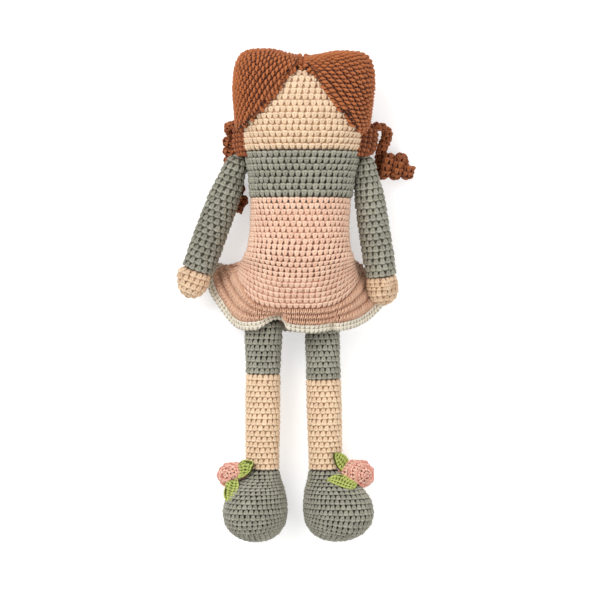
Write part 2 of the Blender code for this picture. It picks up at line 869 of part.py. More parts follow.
def yoke():
    """The grey chest of the body tube, dented by both arms and their stitches."""
    item = shell("yoke", short_yoke_rounds, WALL, DARK_GREY)
    for word, side in (("left", -1), ("right", 1)):
        socket = ball(f"{word}_shoulder_cutter", SHOULDER_RADIUS + SEWN_GAP, shoulder_place(side), GREY)
        cut(item, cutter(socket))
        groove = shoulder_stitches(word, side, SEAM_THREAD + SEWN_GAP)
        groove.name = f"{word}_shoulder_groove_cutter"
        cut(item, cutter(groove))
    return item


def short_yoke_rounds(inset=0):
    """Rounds of the yoke, with the lowest a sewn gap above the dress."""
    rounds = yoke_rounds(inset)
    for point in rounds[0]:
        point.y += SEWN_GAP
    return rounds


# Each row: share of the leg's length, of its radius
LEG_SHARES = ((0.19, 1.00), (0.30, 1.045), (0.45, 1.04), (0.60, 1.00))
# Each row: share of the shoe's length below the ankle, of the foot's length, of its width, shift to the toe
SHOE_SHARES = (
    (0.00, 0.400, 0.545, 0.000),
    (0.12, 0.535, 0.630, 0.050),
    (0.26, 0.800, 0.820, 0.145),
    (0.42, 0.960, 0.950, 0.210),
    (0.59, 1.000, 1.000, 0.233),
    (0.76, 0.935, 0.930, 0.225),
    (0.89, 0.735, 0.730, 0.208),
    (0.965, 0.480, 0.460, 0.190),
    (1.00, 0.220, 0.200, 0.180),
)
HEEL_ROW = 4


def ankle():
    return LEG_LENGTH - SHOE_LENGTH


def heel_reach(toe_out):
    """How far the heel reaches behind the leg's middle, with the toe turned out."""
    turn = math.radians(toe_out)
    length, width, shift = SHOE_SHARES[HEEL_ROW][1:]
    along = FOOT_LENGTH / 2 * length * math.cos(turn)
    across = SHOE_WIDTH / 2 * width * math.sin(turn)
    return math.hypot(along, across) - FOOT_LENGTH * shift * math.cos(turn)


def hip_place(side):
    """The pivot of a leg, a sewn gap below the flat end of the body base."""
    middle = lean(BASE_END_Y) - HIP_SHIFT
    return Vector((middle + side * HIP_SPACING / 2, BASE_END_Y - LEG_RADIUS - SEWN_GAP, HIP_HEIGHT))


def leg_slope(toe_out):
    drop = HIP_HEIGHT - heel_reach(toe_out) + PRESSED_FLAT
    return math.degrees(math.asin(drop / (ankle() + SHOE_LENGTH * SHOE_SHARES[HEEL_ROW][0])))


def shoe_rounds(toe_out, inset=0):
    """Rounds of the shoe from the ankle to the sole, ovals that reach out to the toe."""
    turn = math.radians(toe_out)
    rounds = []
    for along, length, width, shift in SHOE_SHARES:
        half_length = FOOT_LENGTH / 2 * length - inset
        half_width = SHOE_WIDTH / 2 * width - inset
        half_length, half_width = max(half_length, SEWN_GAP), max(half_width, SEWN_GAP)
        height = -ankle() - SHOE_LENGTH * along + inset * along
        ring = []
        for i in range(SHOE_POINTS):
            angle = 2 * math.pi * i / SHOE_POINTS
            across = half_width * math.cos(angle)
            ahead = half_length * math.sin(angle) + FOOT_LENGTH * shift
            x = across * math.cos(turn) + ahead * math.sin(turn)
            y = across * math.sin(turn) - ahead * math.cos(turn)
            ring.append(Vector((x, y, height)))
        rounds.append(ring)
    return rounds


def leg_round(height, radius, toe_out):
    ring = []
    for i in range(SHOE_POINTS):
        angle = 2 * math.pi * i / SHOE_POINTS - math.radians(toe_out)
        ring.append(Vector((radius * math.cos(angle), -radius * math.sin(angle), height)))
    return ring


def foot_cutter(name, toe_out, swell, frame):
    """The ankle and shoe swollen by a clearance."""
    upper = ankle() - 2 * LEG_RADIUS
    above = leg_round(-upper, LEG_RADIUS * leg_share(upper) + swell, toe_out)
    rounds = [above] + shoe_rounds(toe_out, -swell)
    return cutter(finish(name, loft(rounds, True, True), GREY, frame))


def legging_rows(length, start=0):
    rows = [(0, 1.0)] + [row for row in LEG_SHARES if row[0] * LEG_LENGTH < length - WALL]
    return rows + [(length / LEG_LENGTH, leg_share(length))]


def leg_share(length):
    """Share of the leg's radius at this length below the hip."""
    rows = ((0, 1.0), *LEG_SHARES, (ankle() / LEG_LENGTH, 1.0))
    for above, below in zip(rows, rows[1:]):
        if above[0] <= length / LEG_LENGTH <= below[0]:
            part = (length / LEG_LENGTH - above[0]) / (below[0] - above[0])
            return above[1] + (below[1] - above[1]) * part
    return 1.0


def lower_leg_rows(length):
    start, end = length + SEWN_GAP, ankle() - SEWN_GAP
    rows = [row for row in LEG_SHARES if start + WALL < row[0] * LEG_LENGTH < end]
    return [(start / LEG_LENGTH, leg_share(start))] + rows + [(end / LEG_LENGTH, leg_share(end))]


def leg(word, side, spread, toe_out, legging_length, floor):
    """Legging, lower leg, shoe and filling of one leg, hung from the hip."""
    frame = pivot(f"{word}_hip_pivot", hip_place(side), spread, leg_slope(abs(toe_out)))
    rows = legging_rows(legging_length)
    limb_skin(f"legging_{word}", rows, LEG_LENGTH, LEG_RADIUS, GREY, frame, LEG_RADIUS)
    limb_skin(f"lower_leg_{word}", lower_leg_rows(legging_length), LEG_LENGTH, LEG_RADIUS, SKIN, frame)
    inside = shoe_rounds(toe_out, WALL)[::-1]
    shoe = finish(f"shoe_{word}", loft(inside + shoe_rounds(toe_out), True, True), GREY, frame)
    cut(shoe, floor)
    filling = WALL + STUFFING_GAP
    shrink = 1 - filling / LEG_RADIUS
    rounds = []
    for i in range(1, DOME_STEPS):
        angle = math.pi / 2 * i / DOME_STEPS
        radius = LEG_RADIUS * shrink
        rounds.append(leg_round(radius * math.cos(angle), radius * math.sin(angle), toe_out))
    for along, share in ((0, 1.0), *LEG_SHARES):
        rounds.append(leg_round(-LEG_LENGTH * along, LEG_RADIUS * share * shrink, toe_out))
    rounds += shoe_rounds(toe_out, filling)
    finish(f"leg_stuffing_{word}", loft(rounds, True, True), FILLING, frame)
    return frame


def hip_stitches(word, side, thread):
    place = hip_place(side) + Vector((0, seam_reach(LEG_RADIUS), 0))
    return thread_ring(f"hip_stitches_{word}", place, False, thread, GREY)


def body_base():
    """The grey bag that closes the stuffed body under the skirt, grooved by the stitches of both legs."""
    item = shell("body_base", base_rounds, WALL, DARK_GREY, closed=True)
    for word, side in (("left", -1), ("right", 1)):
        groove = hip_stitches(word, side, SEAM_THREAD + SEWN_GAP)
        groove.name = f"{word}_hip_groove_cutter"
        cut(item, cutter(groove))
    return item


# Flowers and leaves, sewn on the outer side of each ankle

# Each row: share of the flower's height, of its radius, turn of its petals
FLOWER_SHARES = (
    (0.00, 0.62, 0.0),
    (0.35, 0.96, 0.0),
    (0.60, 1.00, 0.0),
    (0.80, 0.82, 0.5),
    (0.95, 0.50, 0.5),
    (1.00, 0.20, 0.0),
)
FLOWER_POINTS = 21


def flower(name, side, frame, swell=0):
    """A puffy rosette with lobed petals, standing out from the ankle."""
    size, reach = LEFT_FLOWER if side < 0 else RIGHT_FLOWER
    turn = math.radians(side * FLOWER_AZIMUTH)
    outward = Vector((math.sin(turn), -math.cos(turn), 0))
    across = Vector((math.cos(turn), math.sin(turn), 0))
    up = Vector((0, 0, 1))
    base = Vector((0, 0, -ankle() - FLOWER_DROP)) + outward * (LEG_RADIUS - WALL)
    height = reach - LEG_RADIUS + WALL + swell
    rounds = []
    for along, width, phase in FLOWER_SHARES:
        ring = []
        for i in range(FLOWER_POINTS):
            angle = 2 * math.pi * i / FLOWER_POINTS
            lobe = 1 + PETAL_SHARE * math.cos(PETALS * angle + 2 * math.pi * phase)
            radius = size * width * lobe + swell
            spot = across * radius * math.cos(angle) + up * radius * math.sin(angle)
            ring.append(base + outward * height * along + spot)
        rounds.append(ring)
    return finish(name, loft(rounds, True, True), CORAL, frame)


def leaf(name, azimuth, drop, length, width, roll, frame, tools):
    """A pointed leaf that hugs the shoe: its outline cut from a layer just over the foot."""
    turn, tilt = math.radians(azimuth), math.radians(roll)
    outward = Vector((math.sin(turn), -math.cos(turn), 0))
    across = Vector((math.cos(turn), math.sin(turn), 0))
    lengthwise = across * math.cos(tilt) + Vector((0, 0, 1)) * math.sin(tilt)
    sidewise = Vector((0, 0, 1)) * math.cos(tilt) - across * math.sin(tilt)
    middle = Vector((0, 0, -ankle() - drop)) + outward * LEG_RADIUS / 3
    mesh = bmesh.new()
    corners = []
    for i in range(2 * LEAF_POINTS):
        t = i / LEAF_POINTS if i < LEAF_POINTS else 2 - i / LEAF_POINTS
        half = width / 2 * math.sin(math.pi * t) ** 0.8 * (1 if i < LEAF_POINTS else -1)
        corners.append(mesh.verts.new(middle + lengthwise * length * (t - 0.5) + sidewise * half))
    face = mesh.faces.new(corners)
    risen = bmesh.ops.extrude_face_region(mesh, geom=[face])
    verts = [item for item in risen["geom"] if isinstance(item, bmesh.types.BMVert)]
    bmesh.ops.translate(mesh, verts=verts, vec=outward * (LEG_LENGTH + FOOT_LENGTH))
    item = finish(name, mesh, GREEN, frame)
    over, foot, bloom = tools
    cut(item, over, "INTERSECT")
    cut(item, foot)
    cut(item, bloom)
    return item


def trim(word, side, toe_out, frame):
    """The flower of one shoe and what cuts the leaves to their seat."""
    foot = foot_cutter(f"{word}_foot_cutter", toe_out, SEWN_GAP, frame)
    over = foot_cutter(f"{word}_leaf_layer_cutter", toe_out, SEWN_GAP + LEAF_THICKNESS, frame)
    bloom = cutter(flower(f"{word}_flower_cutter", side, frame, SEWN_GAP))
    item = flower(f"flower_{word}", side, frame)
    cut(item, foot)
    return over, foot, bloom


# The doll, put together

clear_scene()
DOLL = new_collection("amigurumi_doll")
CUTTERS = new_collection("cutters")

FLOOR = floor_cutter()
cut(head(), FLOOR)
cut(yoke(), FLOOR)
dress = shell("dress", dress_rounds, WALL, PINK)
cut(dress, FLOOR)
shell("frill", frill_rounds, FRILL_WALL, FRILL_PINK)
shell("hem", hem_rounds, FRILL_WALL, CREAM)
body_base()
body_stuffing()

FACE = face_cutter()
hair("hair_left", -1, FACE, FLOOR)
hair("hair_right", 1, FACE, FLOOR)
pigtail("pigtail_left", -1)
pigtail("pigtail_right", 1)

arm("left", -1, -LEFT_ARM_SPREAD, LEFT_THUMB_AZIMUTH)
arm("right", 1, RIGHT_ARM_SPREAD, RIGHT_THUMB_AZIMUTH)
for word, side in (("left", -1), ("right", 1)):
    shoulder_stitches(word, side, SEAM_THREAD)

left_leg = leg("left", -1, -LEFT_LEG_SPREAD, -LEFT_TOE_OUT, LEFT_LEGGING_LENGTH, FLOOR)
right_leg = leg("right", 1, RIGHT_LEG_SPREAD, RIGHT_TOE_OUT, RIGHT_LEGGING_LENGTH, FLOOR)
for word, side in (("left", -1), ("right", 1)):
    hip_stitches(word, side, SEAM_THREAD)

left_tools = trim("left", -1, -LEFT_TOE_OUT, left_leg)
for values in LEFT_LEAVES:
    leaf(*values, left_leg, left_tools)
right_tools = trim("right", 1, RIGHT_TOE_OUT, right_leg)
for values in RIGHT_LEAVES:
    leaf(*values, right_leg, right_tools)
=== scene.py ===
"""Amigurumi doll, crocheted stitch by stitch over its CAD solids: single crochet in cotton yarn.

Metres, in the frame of the CAD model: the doll lies on its back on the floor, head towards +Y, front up.
"""

import math
import random

import bmesh
import bpy
import numpy as np
from mathutils import Matrix, Vector
from mathutils.bvhtree import BVHTree


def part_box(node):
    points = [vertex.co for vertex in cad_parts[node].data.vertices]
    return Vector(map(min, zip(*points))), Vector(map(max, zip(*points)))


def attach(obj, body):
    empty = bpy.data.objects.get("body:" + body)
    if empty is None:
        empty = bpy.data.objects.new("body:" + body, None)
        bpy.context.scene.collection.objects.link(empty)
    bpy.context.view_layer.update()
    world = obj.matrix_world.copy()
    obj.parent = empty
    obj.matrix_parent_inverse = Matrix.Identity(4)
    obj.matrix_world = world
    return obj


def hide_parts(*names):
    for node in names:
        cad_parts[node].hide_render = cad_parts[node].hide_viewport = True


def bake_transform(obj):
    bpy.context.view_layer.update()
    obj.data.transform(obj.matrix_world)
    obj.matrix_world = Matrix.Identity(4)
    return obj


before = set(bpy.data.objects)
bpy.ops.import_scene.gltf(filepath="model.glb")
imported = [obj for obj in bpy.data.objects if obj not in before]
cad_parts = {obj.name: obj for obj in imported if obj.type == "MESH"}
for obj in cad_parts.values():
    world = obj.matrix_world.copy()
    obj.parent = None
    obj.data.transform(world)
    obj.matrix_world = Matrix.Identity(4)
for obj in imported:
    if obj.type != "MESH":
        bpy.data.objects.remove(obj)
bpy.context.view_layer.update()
scene = bpy.context.scene

# The camera looks straight down on the doll, with a long lens, as the photograph was taken.
CAMERA_HEIGHT = 3.0
PICTURE_WIDTH = 0.432
PICTURE_MIDDLE_Y = -0.054
SUBJECT_HEIGHT = 0.035
SENSOR = 36.0
camera_data = bpy.data.cameras.new("camera")
camera_data.sensor_width = SENSOR
camera_data.lens = SENSOR * (CAMERA_HEIGHT - SUBJECT_HEIGHT) / PICTURE_WIDTH
camera = bpy.data.objects.new("camera", camera_data)
camera.location = (0, PICTURE_MIDDLE_Y, CAMERA_HEIGHT)
scene.collection.objects.link(camera)
scene.camera = camera
scene.view_settings.view_transform = "Standard"

# The studio: a pale floor under a soft sky light and two large soft lamps, one from the upper left.
# The floor shows white to the camera and keeps the doll's soft shadow.
LAMPS = (
    ("key", (-0.9, 0.9, 1.5), 1.0, 20.0),
    ("fill", (1.2, -0.5, 1.3), 1.2, 7.5),
)
LAMP_AIM = Vector((0, -0.05, 0))
SKY_STRENGTH = 0.57
FLOOR_HALF_WIDTH = 6
FLOOR_LEVEL = -0.0004
FLOOR_GLOW = 0.5


def shader(tree, kind, inputs=(), **settings):
    """A new shader node with these settings and values of its inputs."""
    node = tree.nodes.new("ShaderNode" + kind)
    for name, value in settings.items():
        setattr(node, name, value)
    for name, value in dict(inputs).items():
        node.inputs[name].default_value = value
    return node


def wire(tree, *wires):
    """Links of a node's output to another one's input."""
    for source, output, target, entry in wires:
        tree.links.new(source.outputs[output], target.inputs[entry])


def blank_material(name):
    """A new material, its tree and its surface."""
    material = bpy.data.materials.new(name)
    material.use_nodes = True
    return material, material.node_tree, material.node_tree.nodes["Principled BSDF"]


def light(name, place, size, power):
    """A square soft lamp that faces the doll."""
    data = bpy.data.lights.new(name, "AREA")
    data.size = size
    data.energy = power
    lamp = bpy.data.objects.new(name, data)
    lamp.location = place
    lamp.rotation_euler = (LAMP_AIM - Vector(place)).to_track_quat("-Z", "Y").to_euler()
    scene.collection.objects.link(lamp)


for values in LAMPS:
    light(*values)
world = bpy.data.worlds.new("sky")
scene.world = world
world.use_nodes = True
sky = world.node_tree.nodes["Background"]
sky.inputs["Color"].default_value = (1, 1, 1, 1)
sky.inputs["Strength"].default_value = SKY_STRENGTH

floor_mesh = bmesh.new()
bmesh.ops.create_grid(floor_mesh, x_segments=1, y_segments=1, size=FLOOR_HALF_WIDTH)
floor_data = bpy.data.meshes.new("floor")
floor_mesh.to_mesh(floor_data)
floor_mesh.free()
floor = bpy.data.objects.new("floor", floor_data)
floor.location = (0, 0, FLOOR_LEVEL)
scene.collection.objects.link(floor)
paper, tree, matt = blank_material("paper")
matt.inputs["Base Color"].default_value = (0.9, 0.9, 0.9, 1)
matt.inputs["Roughness"].default_value = 1.0
rays = shader(tree, "LightPath")
seen = shader(tree, "Math", operation="MAXIMUM")
shown = shader(tree, "Math", operation="MAXIMUM")
lifted = shader(tree, "Math", {1: FLOOR_GLOW}, operation="MULTIPLY")
white = shader(tree, "Emission")
both = shader(tree, "AddShader")
wire(
    tree,
    (rays, "Is Camera Ray", seen, 0),
    (rays, "Is Glossy Ray", seen, 1),
    (seen, 0, shown, 0),
    (rays, "Is Transmission Ray", shown, 1),
    (shown, 0, lifted, 0),
    (lifted, 0, white, "Strength"),
    (matt, 0, both, 0),
    (white, 0, both, 1),
    (both, 0, tree.nodes["Material Output"], "Surface"),
)
floor_data.materials.append(paper)

# The body is one tube of single crochet, worked in rounds in matt cotton yarn and stuffed firmly. It is grey at the
# yoke and skin-coloured at the head, whose face is blank. The hair is sewn over most of the head's top.
# Every stitch of the doll is a mesh of its own, laid between lines drawn on the CAD solids.


def fibre_group():
    """Small bumps and flecks of spun cotton."""
    group = bpy.data.node_groups.new("cotton_fibre", "ShaderNodeTree")
    group.interface.new_socket("Shade", in_out="INPUT", socket_type="NodeSocketFloat")
    group.interface.new_socket("Variation", in_out="OUTPUT", socket_type="NodeSocketFloat")
    group.interface.new_socket("Height", in_out="OUTPUT", socket_type="NodeSocketFloat")
    given, out = group.nodes.new("NodeGroupInput"), group.nodes.new("NodeGroupOutput")
    place = shader(group, "TexCoord")
    fine = shader(group, "TexNoise", {"Scale": 1600, "Detail": 3})
    broad = shader(group, "TexNoise", {"Scale": 60})
    mixed = shader(group, "Math", {1: 0.35}, operation="MULTIPLY_ADD")
    flecks = shader(group, "Math", {1: 0.3}, operation="MULTIPLY_ADD")
    wire(
        group,
        (place, "Object", fine, "Vector"),
        (place, "Object", broad, "Vector"),
        (broad, "Fac", mixed, 0),
        (given, "Shade", mixed, 2),
        (fine, "Fac", flecks, 0),
        (mixed, "Value", flecks, 2),
        (flecks, "Value", out, "Variation"),
        (fine, "Fac", out, "Height"),
    )
    return group


FIBRE = fibre_group()


def srgb(*colour):
    """Linear colour from the 0 to 255 values of a picture."""
    return [((c / 255 + 0.055) / 1.055) ** 2.4 for c in colour]


def yarn(name, dark, lit):
    """Cotton yarn whose stitches vary between a dark and a lit colour, at random and by painted light and shade: lit on
    their tops, dark in their low parts.
    """
    material, tree, surface = blank_material(name)
    fibre = shader(tree, "Group", node_tree=FIBRE)
    shade = shader(tree, "Attribute", attribute_name="shade")
    blend = shader(tree, "Mix", data_type="RGBA")
    blend.inputs["A"].default_value = (*srgb(*dark), 1)
    blend.inputs["B"].default_value = (*srgb(*lit), 1)
    bump = shader(tree, "Bump", {"Strength": 0.5, "Distance": 0.0003})
    wire(
        tree,
        (shade, "Fac", fibre, "Shade"),
        (fibre, "Variation", blend, "Factor"),
        (blend, "Result", surface, "Base Color"),
        (fibre, "Height", bump, "Height"),
        (bump, "Normal", surface, "Normal"),
    )
    surface.inputs["Roughness"].default_value = 0.85
    surface.inputs["Sheen Weight"].default_value = 0.06
    surface.inputs["Sheen Roughness"].default_value = 0.6
    return material


def backing(name, colour):
    """The inner side of the crochet, seen in the gaps between stitches, in a colour that is partly its yarn's own and
    partly painted shade in the gaps.
    """
    material, tree, surface = blank_material(name)
    place = shader(tree, "TexCoord")
    noise = shader(tree, "TexNoise", {"Scale": 500})
    ramp = shader(tree, "Mix", data_type="RGBA")
    ramp.inputs["A"].default_value = (*[0.6 * c for c in srgb(*colour)], 1)
    ramp.inputs["B"].default_value = (*srgb(*colour), 1)
    wire(
        tree,
        (place, "Object", noise, "Vector"),
        (noise, "Fac", ramp, "Factor"),
        (ramp, "Result", surface, "Base Color"),
    )
    surface.inputs["Roughness"].default_value = 0.95
    return material


YARNS, BACKINGS = {}, {}


def dye(slot, dark, lit, inside):
    """Colours for a slot: its yarn, between a dark and a lit colour, and the inner side of what is worked in it, partly
    painted shade.
    """
    YARNS[slot] = yarn(slot + "_yarn", dark, lit)
    BACKINGS[slot] = backing(slot + "_backing", inside)


dye("grey", (70, 67, 51), (180, 177, 160), (84, 81, 66))
dye("skin", (202, 162, 128), (255, 228, 194), (206, 166, 132))

# The single crochet stitch: two legs of yarn in a V, under the loop that lies along the top of the row.
# Its cell is 1 wide and 1 high, and Z is the height off the fabric, in the same unit. A strand has points and radii.
STITCH_STRANDS = (
    (
        ((-0.12, -0.12, -0.16), (-0.15, 0.22, 0.06), (-0.20, 0.56, 0.16), (-0.24, 0.84, 0.12)),
        (0.14, 0.20, 0.23, 0.18),
    ),
    (
        ((0.03, -0.12, -0.16), (0.08, 0.24, 0.04), (0.18, 0.58, 0.15), (0.22, 0.84, 0.11)),
        (0.13, 0.19, 0.22, 0.17),
    ),
    (
        ((-0.56, 0.76, 0.02), (-0.18, 0.89, 0.19), (0.20, 0.88, 0.20), (0.56, 0.75, 0.04)),
        (0.18, 0.23, 0.23, 0.18),
    ),
)


def strand(mesh, points, radii, sides=5):
    """A length of yarn through these points, drawn out of a circle and closed at both ends."""
    points = [Vector(point) for point in points]
    rings = []
    for i, (point, radius) in enumerate(zip(points, radii)):
        along = points[min(i + 1, len(points) - 1)] - points[max(i - 1, 0)]
        turn = along.to_track_quat("Z", "Y").to_matrix().to_4x4()
        rings.append(Matrix.Translation(point) @ turn @ Matrix.Scale(radius, 4))
    bmesh.ops.create_circle(mesh, cap_ends=False, segments=sides, radius=1, matrix=rings[0])
    edges = mesh.edges[:][-sides:]
    bmesh.ops.edgeloop_fill(mesh, edges=edges)
    for here, there in zip(rings, rings[1:]):
        grown = bmesh.ops.extrude_edge_only(mesh, edges=edges)["geom"]
        verts = [item for item in grown if isinstance(item, bmesh.types.BMVert)]
        edges = [item for item in grown if isinstance(item, bmesh.types.BMEdge)]
        bmesh.ops.transform(mesh, matrix=there @ here.inverted(), verts=verts)
    bmesh.ops.edgeloop_fill(mesh, edges=edges)


def stitch_template(strands):
    """The mesh of one stitch."""
    mesh = bmesh.new()
    for points, radii in strands:
        strand(mesh, points, radii)
    bmesh.ops.recalc_face_normals(mesh, faces=mesh.faces)
    data = bpy.data.meshes.new("stitch")
    mesh.to_mesh(data)
    mesh.free()
    return data


STITCH = stitch_template(STITCH_STRANDS)


def copies(template, count):
    """One mesh that holds this many copies of a template, made by doubling."""
    whole = bpy.data.meshes.new("copies")
    for digit in bin(count)[2:]:
        mesh = bmesh.new()
        if whole.vertices:
            mesh.from_mesh(whole)
            mesh.from_mesh(whole)
        if digit == "1":
            mesh.from_mesh(template)
        mesh.to_mesh(whole)
        mesh.free()
    return whole


def coordinates(data):
    """The places of a mesh's vertices."""
    found = np.empty(len(data.vertices) * 3, np.float32)
    data.vertices.foreach_get("co", found)
    return found.reshape(-1, 3).astype(float)


def unit(vectors):
    """Vectors made one long."""
    return vectors / np.maximum(np.linalg.norm(vectors, axis=-1, keepdims=True), 1e-9)


def row_places(lower, upper, width, offset, closed):
    """Corners of each stitch's cell in a row between two lines: lower left, lower right, upper left, upper right."""
    middle = (lower + upper) / 2
    if closed:
        lower, upper, middle = (np.vstack([line, line[:1]]) for line in (lower, upper, middle))
    steps = np.linalg.norm(np.diff(middle, axis=0), axis=1)
    reach = np.concatenate([[0], np.cumsum(steps)])
    count = max(3 if closed else 1, round(reach[-1] / width))
    ends = (np.arange(count + 1) + (offset if closed else 0)) / count * reach[-1]
    ends = np.stack([ends[:-1], ends[1:]])
    if closed:
        ends = ends % reach[-1]

    def at(line, where):
        return np.stack([np.interp(where, reach, line[:, axis]) for axis in range(3)], axis=1)

    return at(lower, ends[0]), at(lower, ends[1]), at(upper, ends[0]), at(upper, ends[1])


def finish_piece(name, data, material, body):
    """The piece made of a mesh, riding on a body if one is given."""
    data.name = name
    data.materials.clear()
    data.materials.append(material)
    data.shade_smooth()
    piece = bpy.data.objects.new(name, data)
    scene.collection.objects.link(piece)
    if body:
        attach(piece, body)
    return piece


PITCH = 0.0046
SINK = 0.0011
ROW_STEP, ROW_DRIFT = 0.5, 0.15
WOBBLE = (0.05, 0.04, 0.04)
# The last of these paints each stitch lighter on its top and darker in its low parts: painted light and shade.
BASE_SHADE, SHADE_WOBBLE, PAINTED_RELIEF_SHADING = 0.18, 0.12, 0.9
PRESSED = 0.0009


def pressed(heights):
    """Heights off the floor, with what would sink into it pressed flat."""
    low = PRESSED * np.exp(np.minimum(heights - PRESSED, 0) / PRESSED)
    return np.where(heights < PRESSED, low, heights)


def crochet(
    name,
    lines,
    colour,
    body,
    width=PITCH,
    height=None,
    sink=SINK,
    closed=True,
    keep=None,
    template=STITCH,
    seed=1,
    painted_shade_shift=0.0,
):
    """Rows of stitches between lines over a surface, or over several surfaces for a list of sets of lines.

    A stitch is width wide and stands height off the surface, sunk into it by sink. keep tells from a stitch's middle
    and its way out whether it is made. Each stitch is painted lighter on its top and darker in its low parts, as
    painted light and shade, and the last argument darkens or lightens all of them, as painted shade."""
    draw = random.Random(seed)
    cells = [[], [], [], []]
    for band in lines if np.ndim(lines[0]) == 3 else [lines]:
        for row, (lower, upper) in enumerate(zip(band, band[1:])):
            offset = ROW_STEP * (row % 2) + ROW_DRIFT * row
            places = row_places(lower, upper, width, offset, closed)
            for cell, more in zip(cells, places):
                cell.append(more)
    ll, lr, ul, ur = (np.vstack(cell) for cell in cells)
    across = (lr + ur - ll - ul) / 2
    outward = unit(np.cross(across, (ul + ur - ll - lr) / 2))
    if keep is not None:
        middles = (ll + lr + ul + ur) / 4
        kept = np.array([keep(Vector(middle), Vector(way)) for middle, way in zip(middles, outward)])
        ll, lr, ul, ur, outward = ll[kept], lr[kept], ul[kept], ur[kept], outward[kept]
    data = copies(template, len(ll))
    shape = coordinates(template)
    x, y, z = shape[:, 0] + 0.5, shape[:, 1], shape[:, 2]
    wobble = np.array([[draw.uniform(-1, 1) for _ in range(4)] for _ in range(len(ll))])
    x = x[None, :, None] + WOBBLE[0] * wobble[:, 0, None, None]
    y = y[None, :, None] + WOBBLE[1] * wobble[:, 1, None, None]
    z = z[None, :, None] + WOBBLE[2] * wobble[:, 2, None, None]
    low = ll[:, None] * (1 - x) + lr[:, None] * x
    high = ul[:, None] * (1 - x) + ur[:, None] * x
    points = low * (1 - y) + high * y + outward[:, None] * (z * (height or width) - sink)
    points[..., 2] = pressed(points[..., 2])
    data.vertices.foreach_set("co", points.reshape(-1).astype(np.float32))
    # Painted light and shade: each stitch is lighter where it stands highest and darker where it lies low.
    painted_relief_shading = PAINTED_RELIEF_SHADING * (shape[:, 2] - shape[:, 2].mean()) / np.ptp(shape[:, 2])
    shades = BASE_SHADE + painted_shade_shift + SHADE_WOBBLE * wobble[:, 3, None] + painted_relief_shading[None]
    shade = data.attributes.new("shade", "FLOAT", "POINT")
    shade.data.foreach_set("value", shades.reshape(-1).astype(np.float32))
    return finish_piece(name, data, YARNS[colour], body)


# The lines lie on the outside of the CAD solids, where rays from far off meet them on their way to the middle.
UP = Vector((0, 0, 1))
HEADWARD = Vector((0, 1, 0))
COLUMNS = 72
FAR = 0.2
SHRINK, GROW = 0.5, -0.52


def solid(*nodes):
    """The outside of some CAD nodes, to shoot rays at."""
    mesh = bmesh.new()
    for node in nodes:
        mesh.from_mesh(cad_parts[node].data)
    tree = BVHTree.FromBMesh(mesh)
    mesh.free()
    return tree


def outermost(tree, start, direction):
    """The outermost point of the surface from here, or None."""
    return tree.ray_cast(start + direction * FAR, -direction, FAR)[0]


def smoothed(lines, times, closed=True):
    """Lines with the facets of the CAD mesh taken out of them, and their size kept."""
    lines = np.array(lines)
    for step in (SHRINK, GROW) * times:
        before, after = np.roll(lines, 1, axis=1), np.roll(lines, -1, axis=1)
        if not closed:
            before[:, 0], after[:, -1] = lines[:, 0], lines[:, -1]
        lines = lines + step * ((before + after) / 2 - lines)
    return lines


def tube_lines(tree, axis, places, up, smooth=2):
    """Closed lines round an axis, one for each place along it."""
    side = axis.cross(up)
    lines = []
    for origin, angle in places:
        line, last = [], None
        for i in range(COLUMNS):
            turn = 2 * math.pi * i / COLUMNS
            radial = -up * math.cos(turn) - side * math.sin(turn)
            hit = outermost(tree, origin, axis * math.cos(angle) + radial * math.sin(angle))
            last = hit or last or origin
            line.append(last)
        lines.append(line)
    return smoothed(lines, smooth)


CLEAR = 0.0003
MERGE = 0.00001


def lining(name, node, body, colour, shrink=0.0012, look=None, smooth=0, place=None):
    """The inner side of the crochet, a little inside its CAD solid, which it stands for.

    Only the solid's outer surface moves, and the wall of a hollow one gets thinner."""
    mesh = bmesh.new()
    mesh.from_mesh(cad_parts[node].data)
    bmesh.ops.remove_doubles(mesh, verts=mesh.verts, dist=MERGE)
    for _ in range(smooth):
        bmesh.ops.smooth_vert(
            mesh, verts=mesh.verts, factor=0.5, use_axis_x=True, use_axis_y=True, use_axis_z=True
        )
    mesh.normal_update()
    tree = BVHTree.FromBMesh(mesh)
    outside = [
        (vert, vert.normal.copy())
        for vert in mesh.verts
        if tree.ray_cast(vert.co + vert.normal * CLEAR, vert.normal)[0] is None
    ]
    for vert, normal in outside:
        vert.co -= normal * shrink
    if place is not None:
        bmesh.ops.transform(mesh, matrix=place, verts=mesh.verts)
    data = bpy.data.meshes.new(name)
    mesh.to_mesh(data)
    mesh.free()
    piece = finish_piece(name, data, look or BACKINGS[colour], body)
    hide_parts(node)
    return piece



# The body tube leans to the right by this share of the way up from this place.
BODY_LEAN, LEAN_FROM_Y = 0.03, 0.0075
ROW = 0.00445


def body_middle(y, height):
    """The middle of the body tube at a place along it, at this height off the floor."""
    return Vector((BODY_LEAN * (y - LEAN_FROM_Y), y, height))


def cross_rounds(tree, y_from, y_to, height):
    """Lines straight across the body tube, one row apart."""
    count = round((y_to - y_from) / ROW)
    heights = [y_from + (y_to - y_from) * i / count for i in range(count + 1)]
    return tube_lines(tree, HEADWARD, [(body_middle(y, height), math.pi / 2) for y in heights], UP)


PARTING_X = 0.0023
HAIR_TREE = solid("hair_left", "hair_right")
SHOWN_BY, UNDER_BY, HAIR_REACH = 0.0035, 0.001, 0.009


def not_under_hair(point, outward):
    """Whether a stitch of the head shows, or lies just under the edge of the hair."""
    inward = Vector((-0.77 if point.x > PARTING_X else 0.77, -0.64, 0))
    start = point + inward * SHOWN_BY - outward * UNDER_BY
    return HAIR_TREE.ray_cast(start, outward, HAIR_REACH)[0] is None


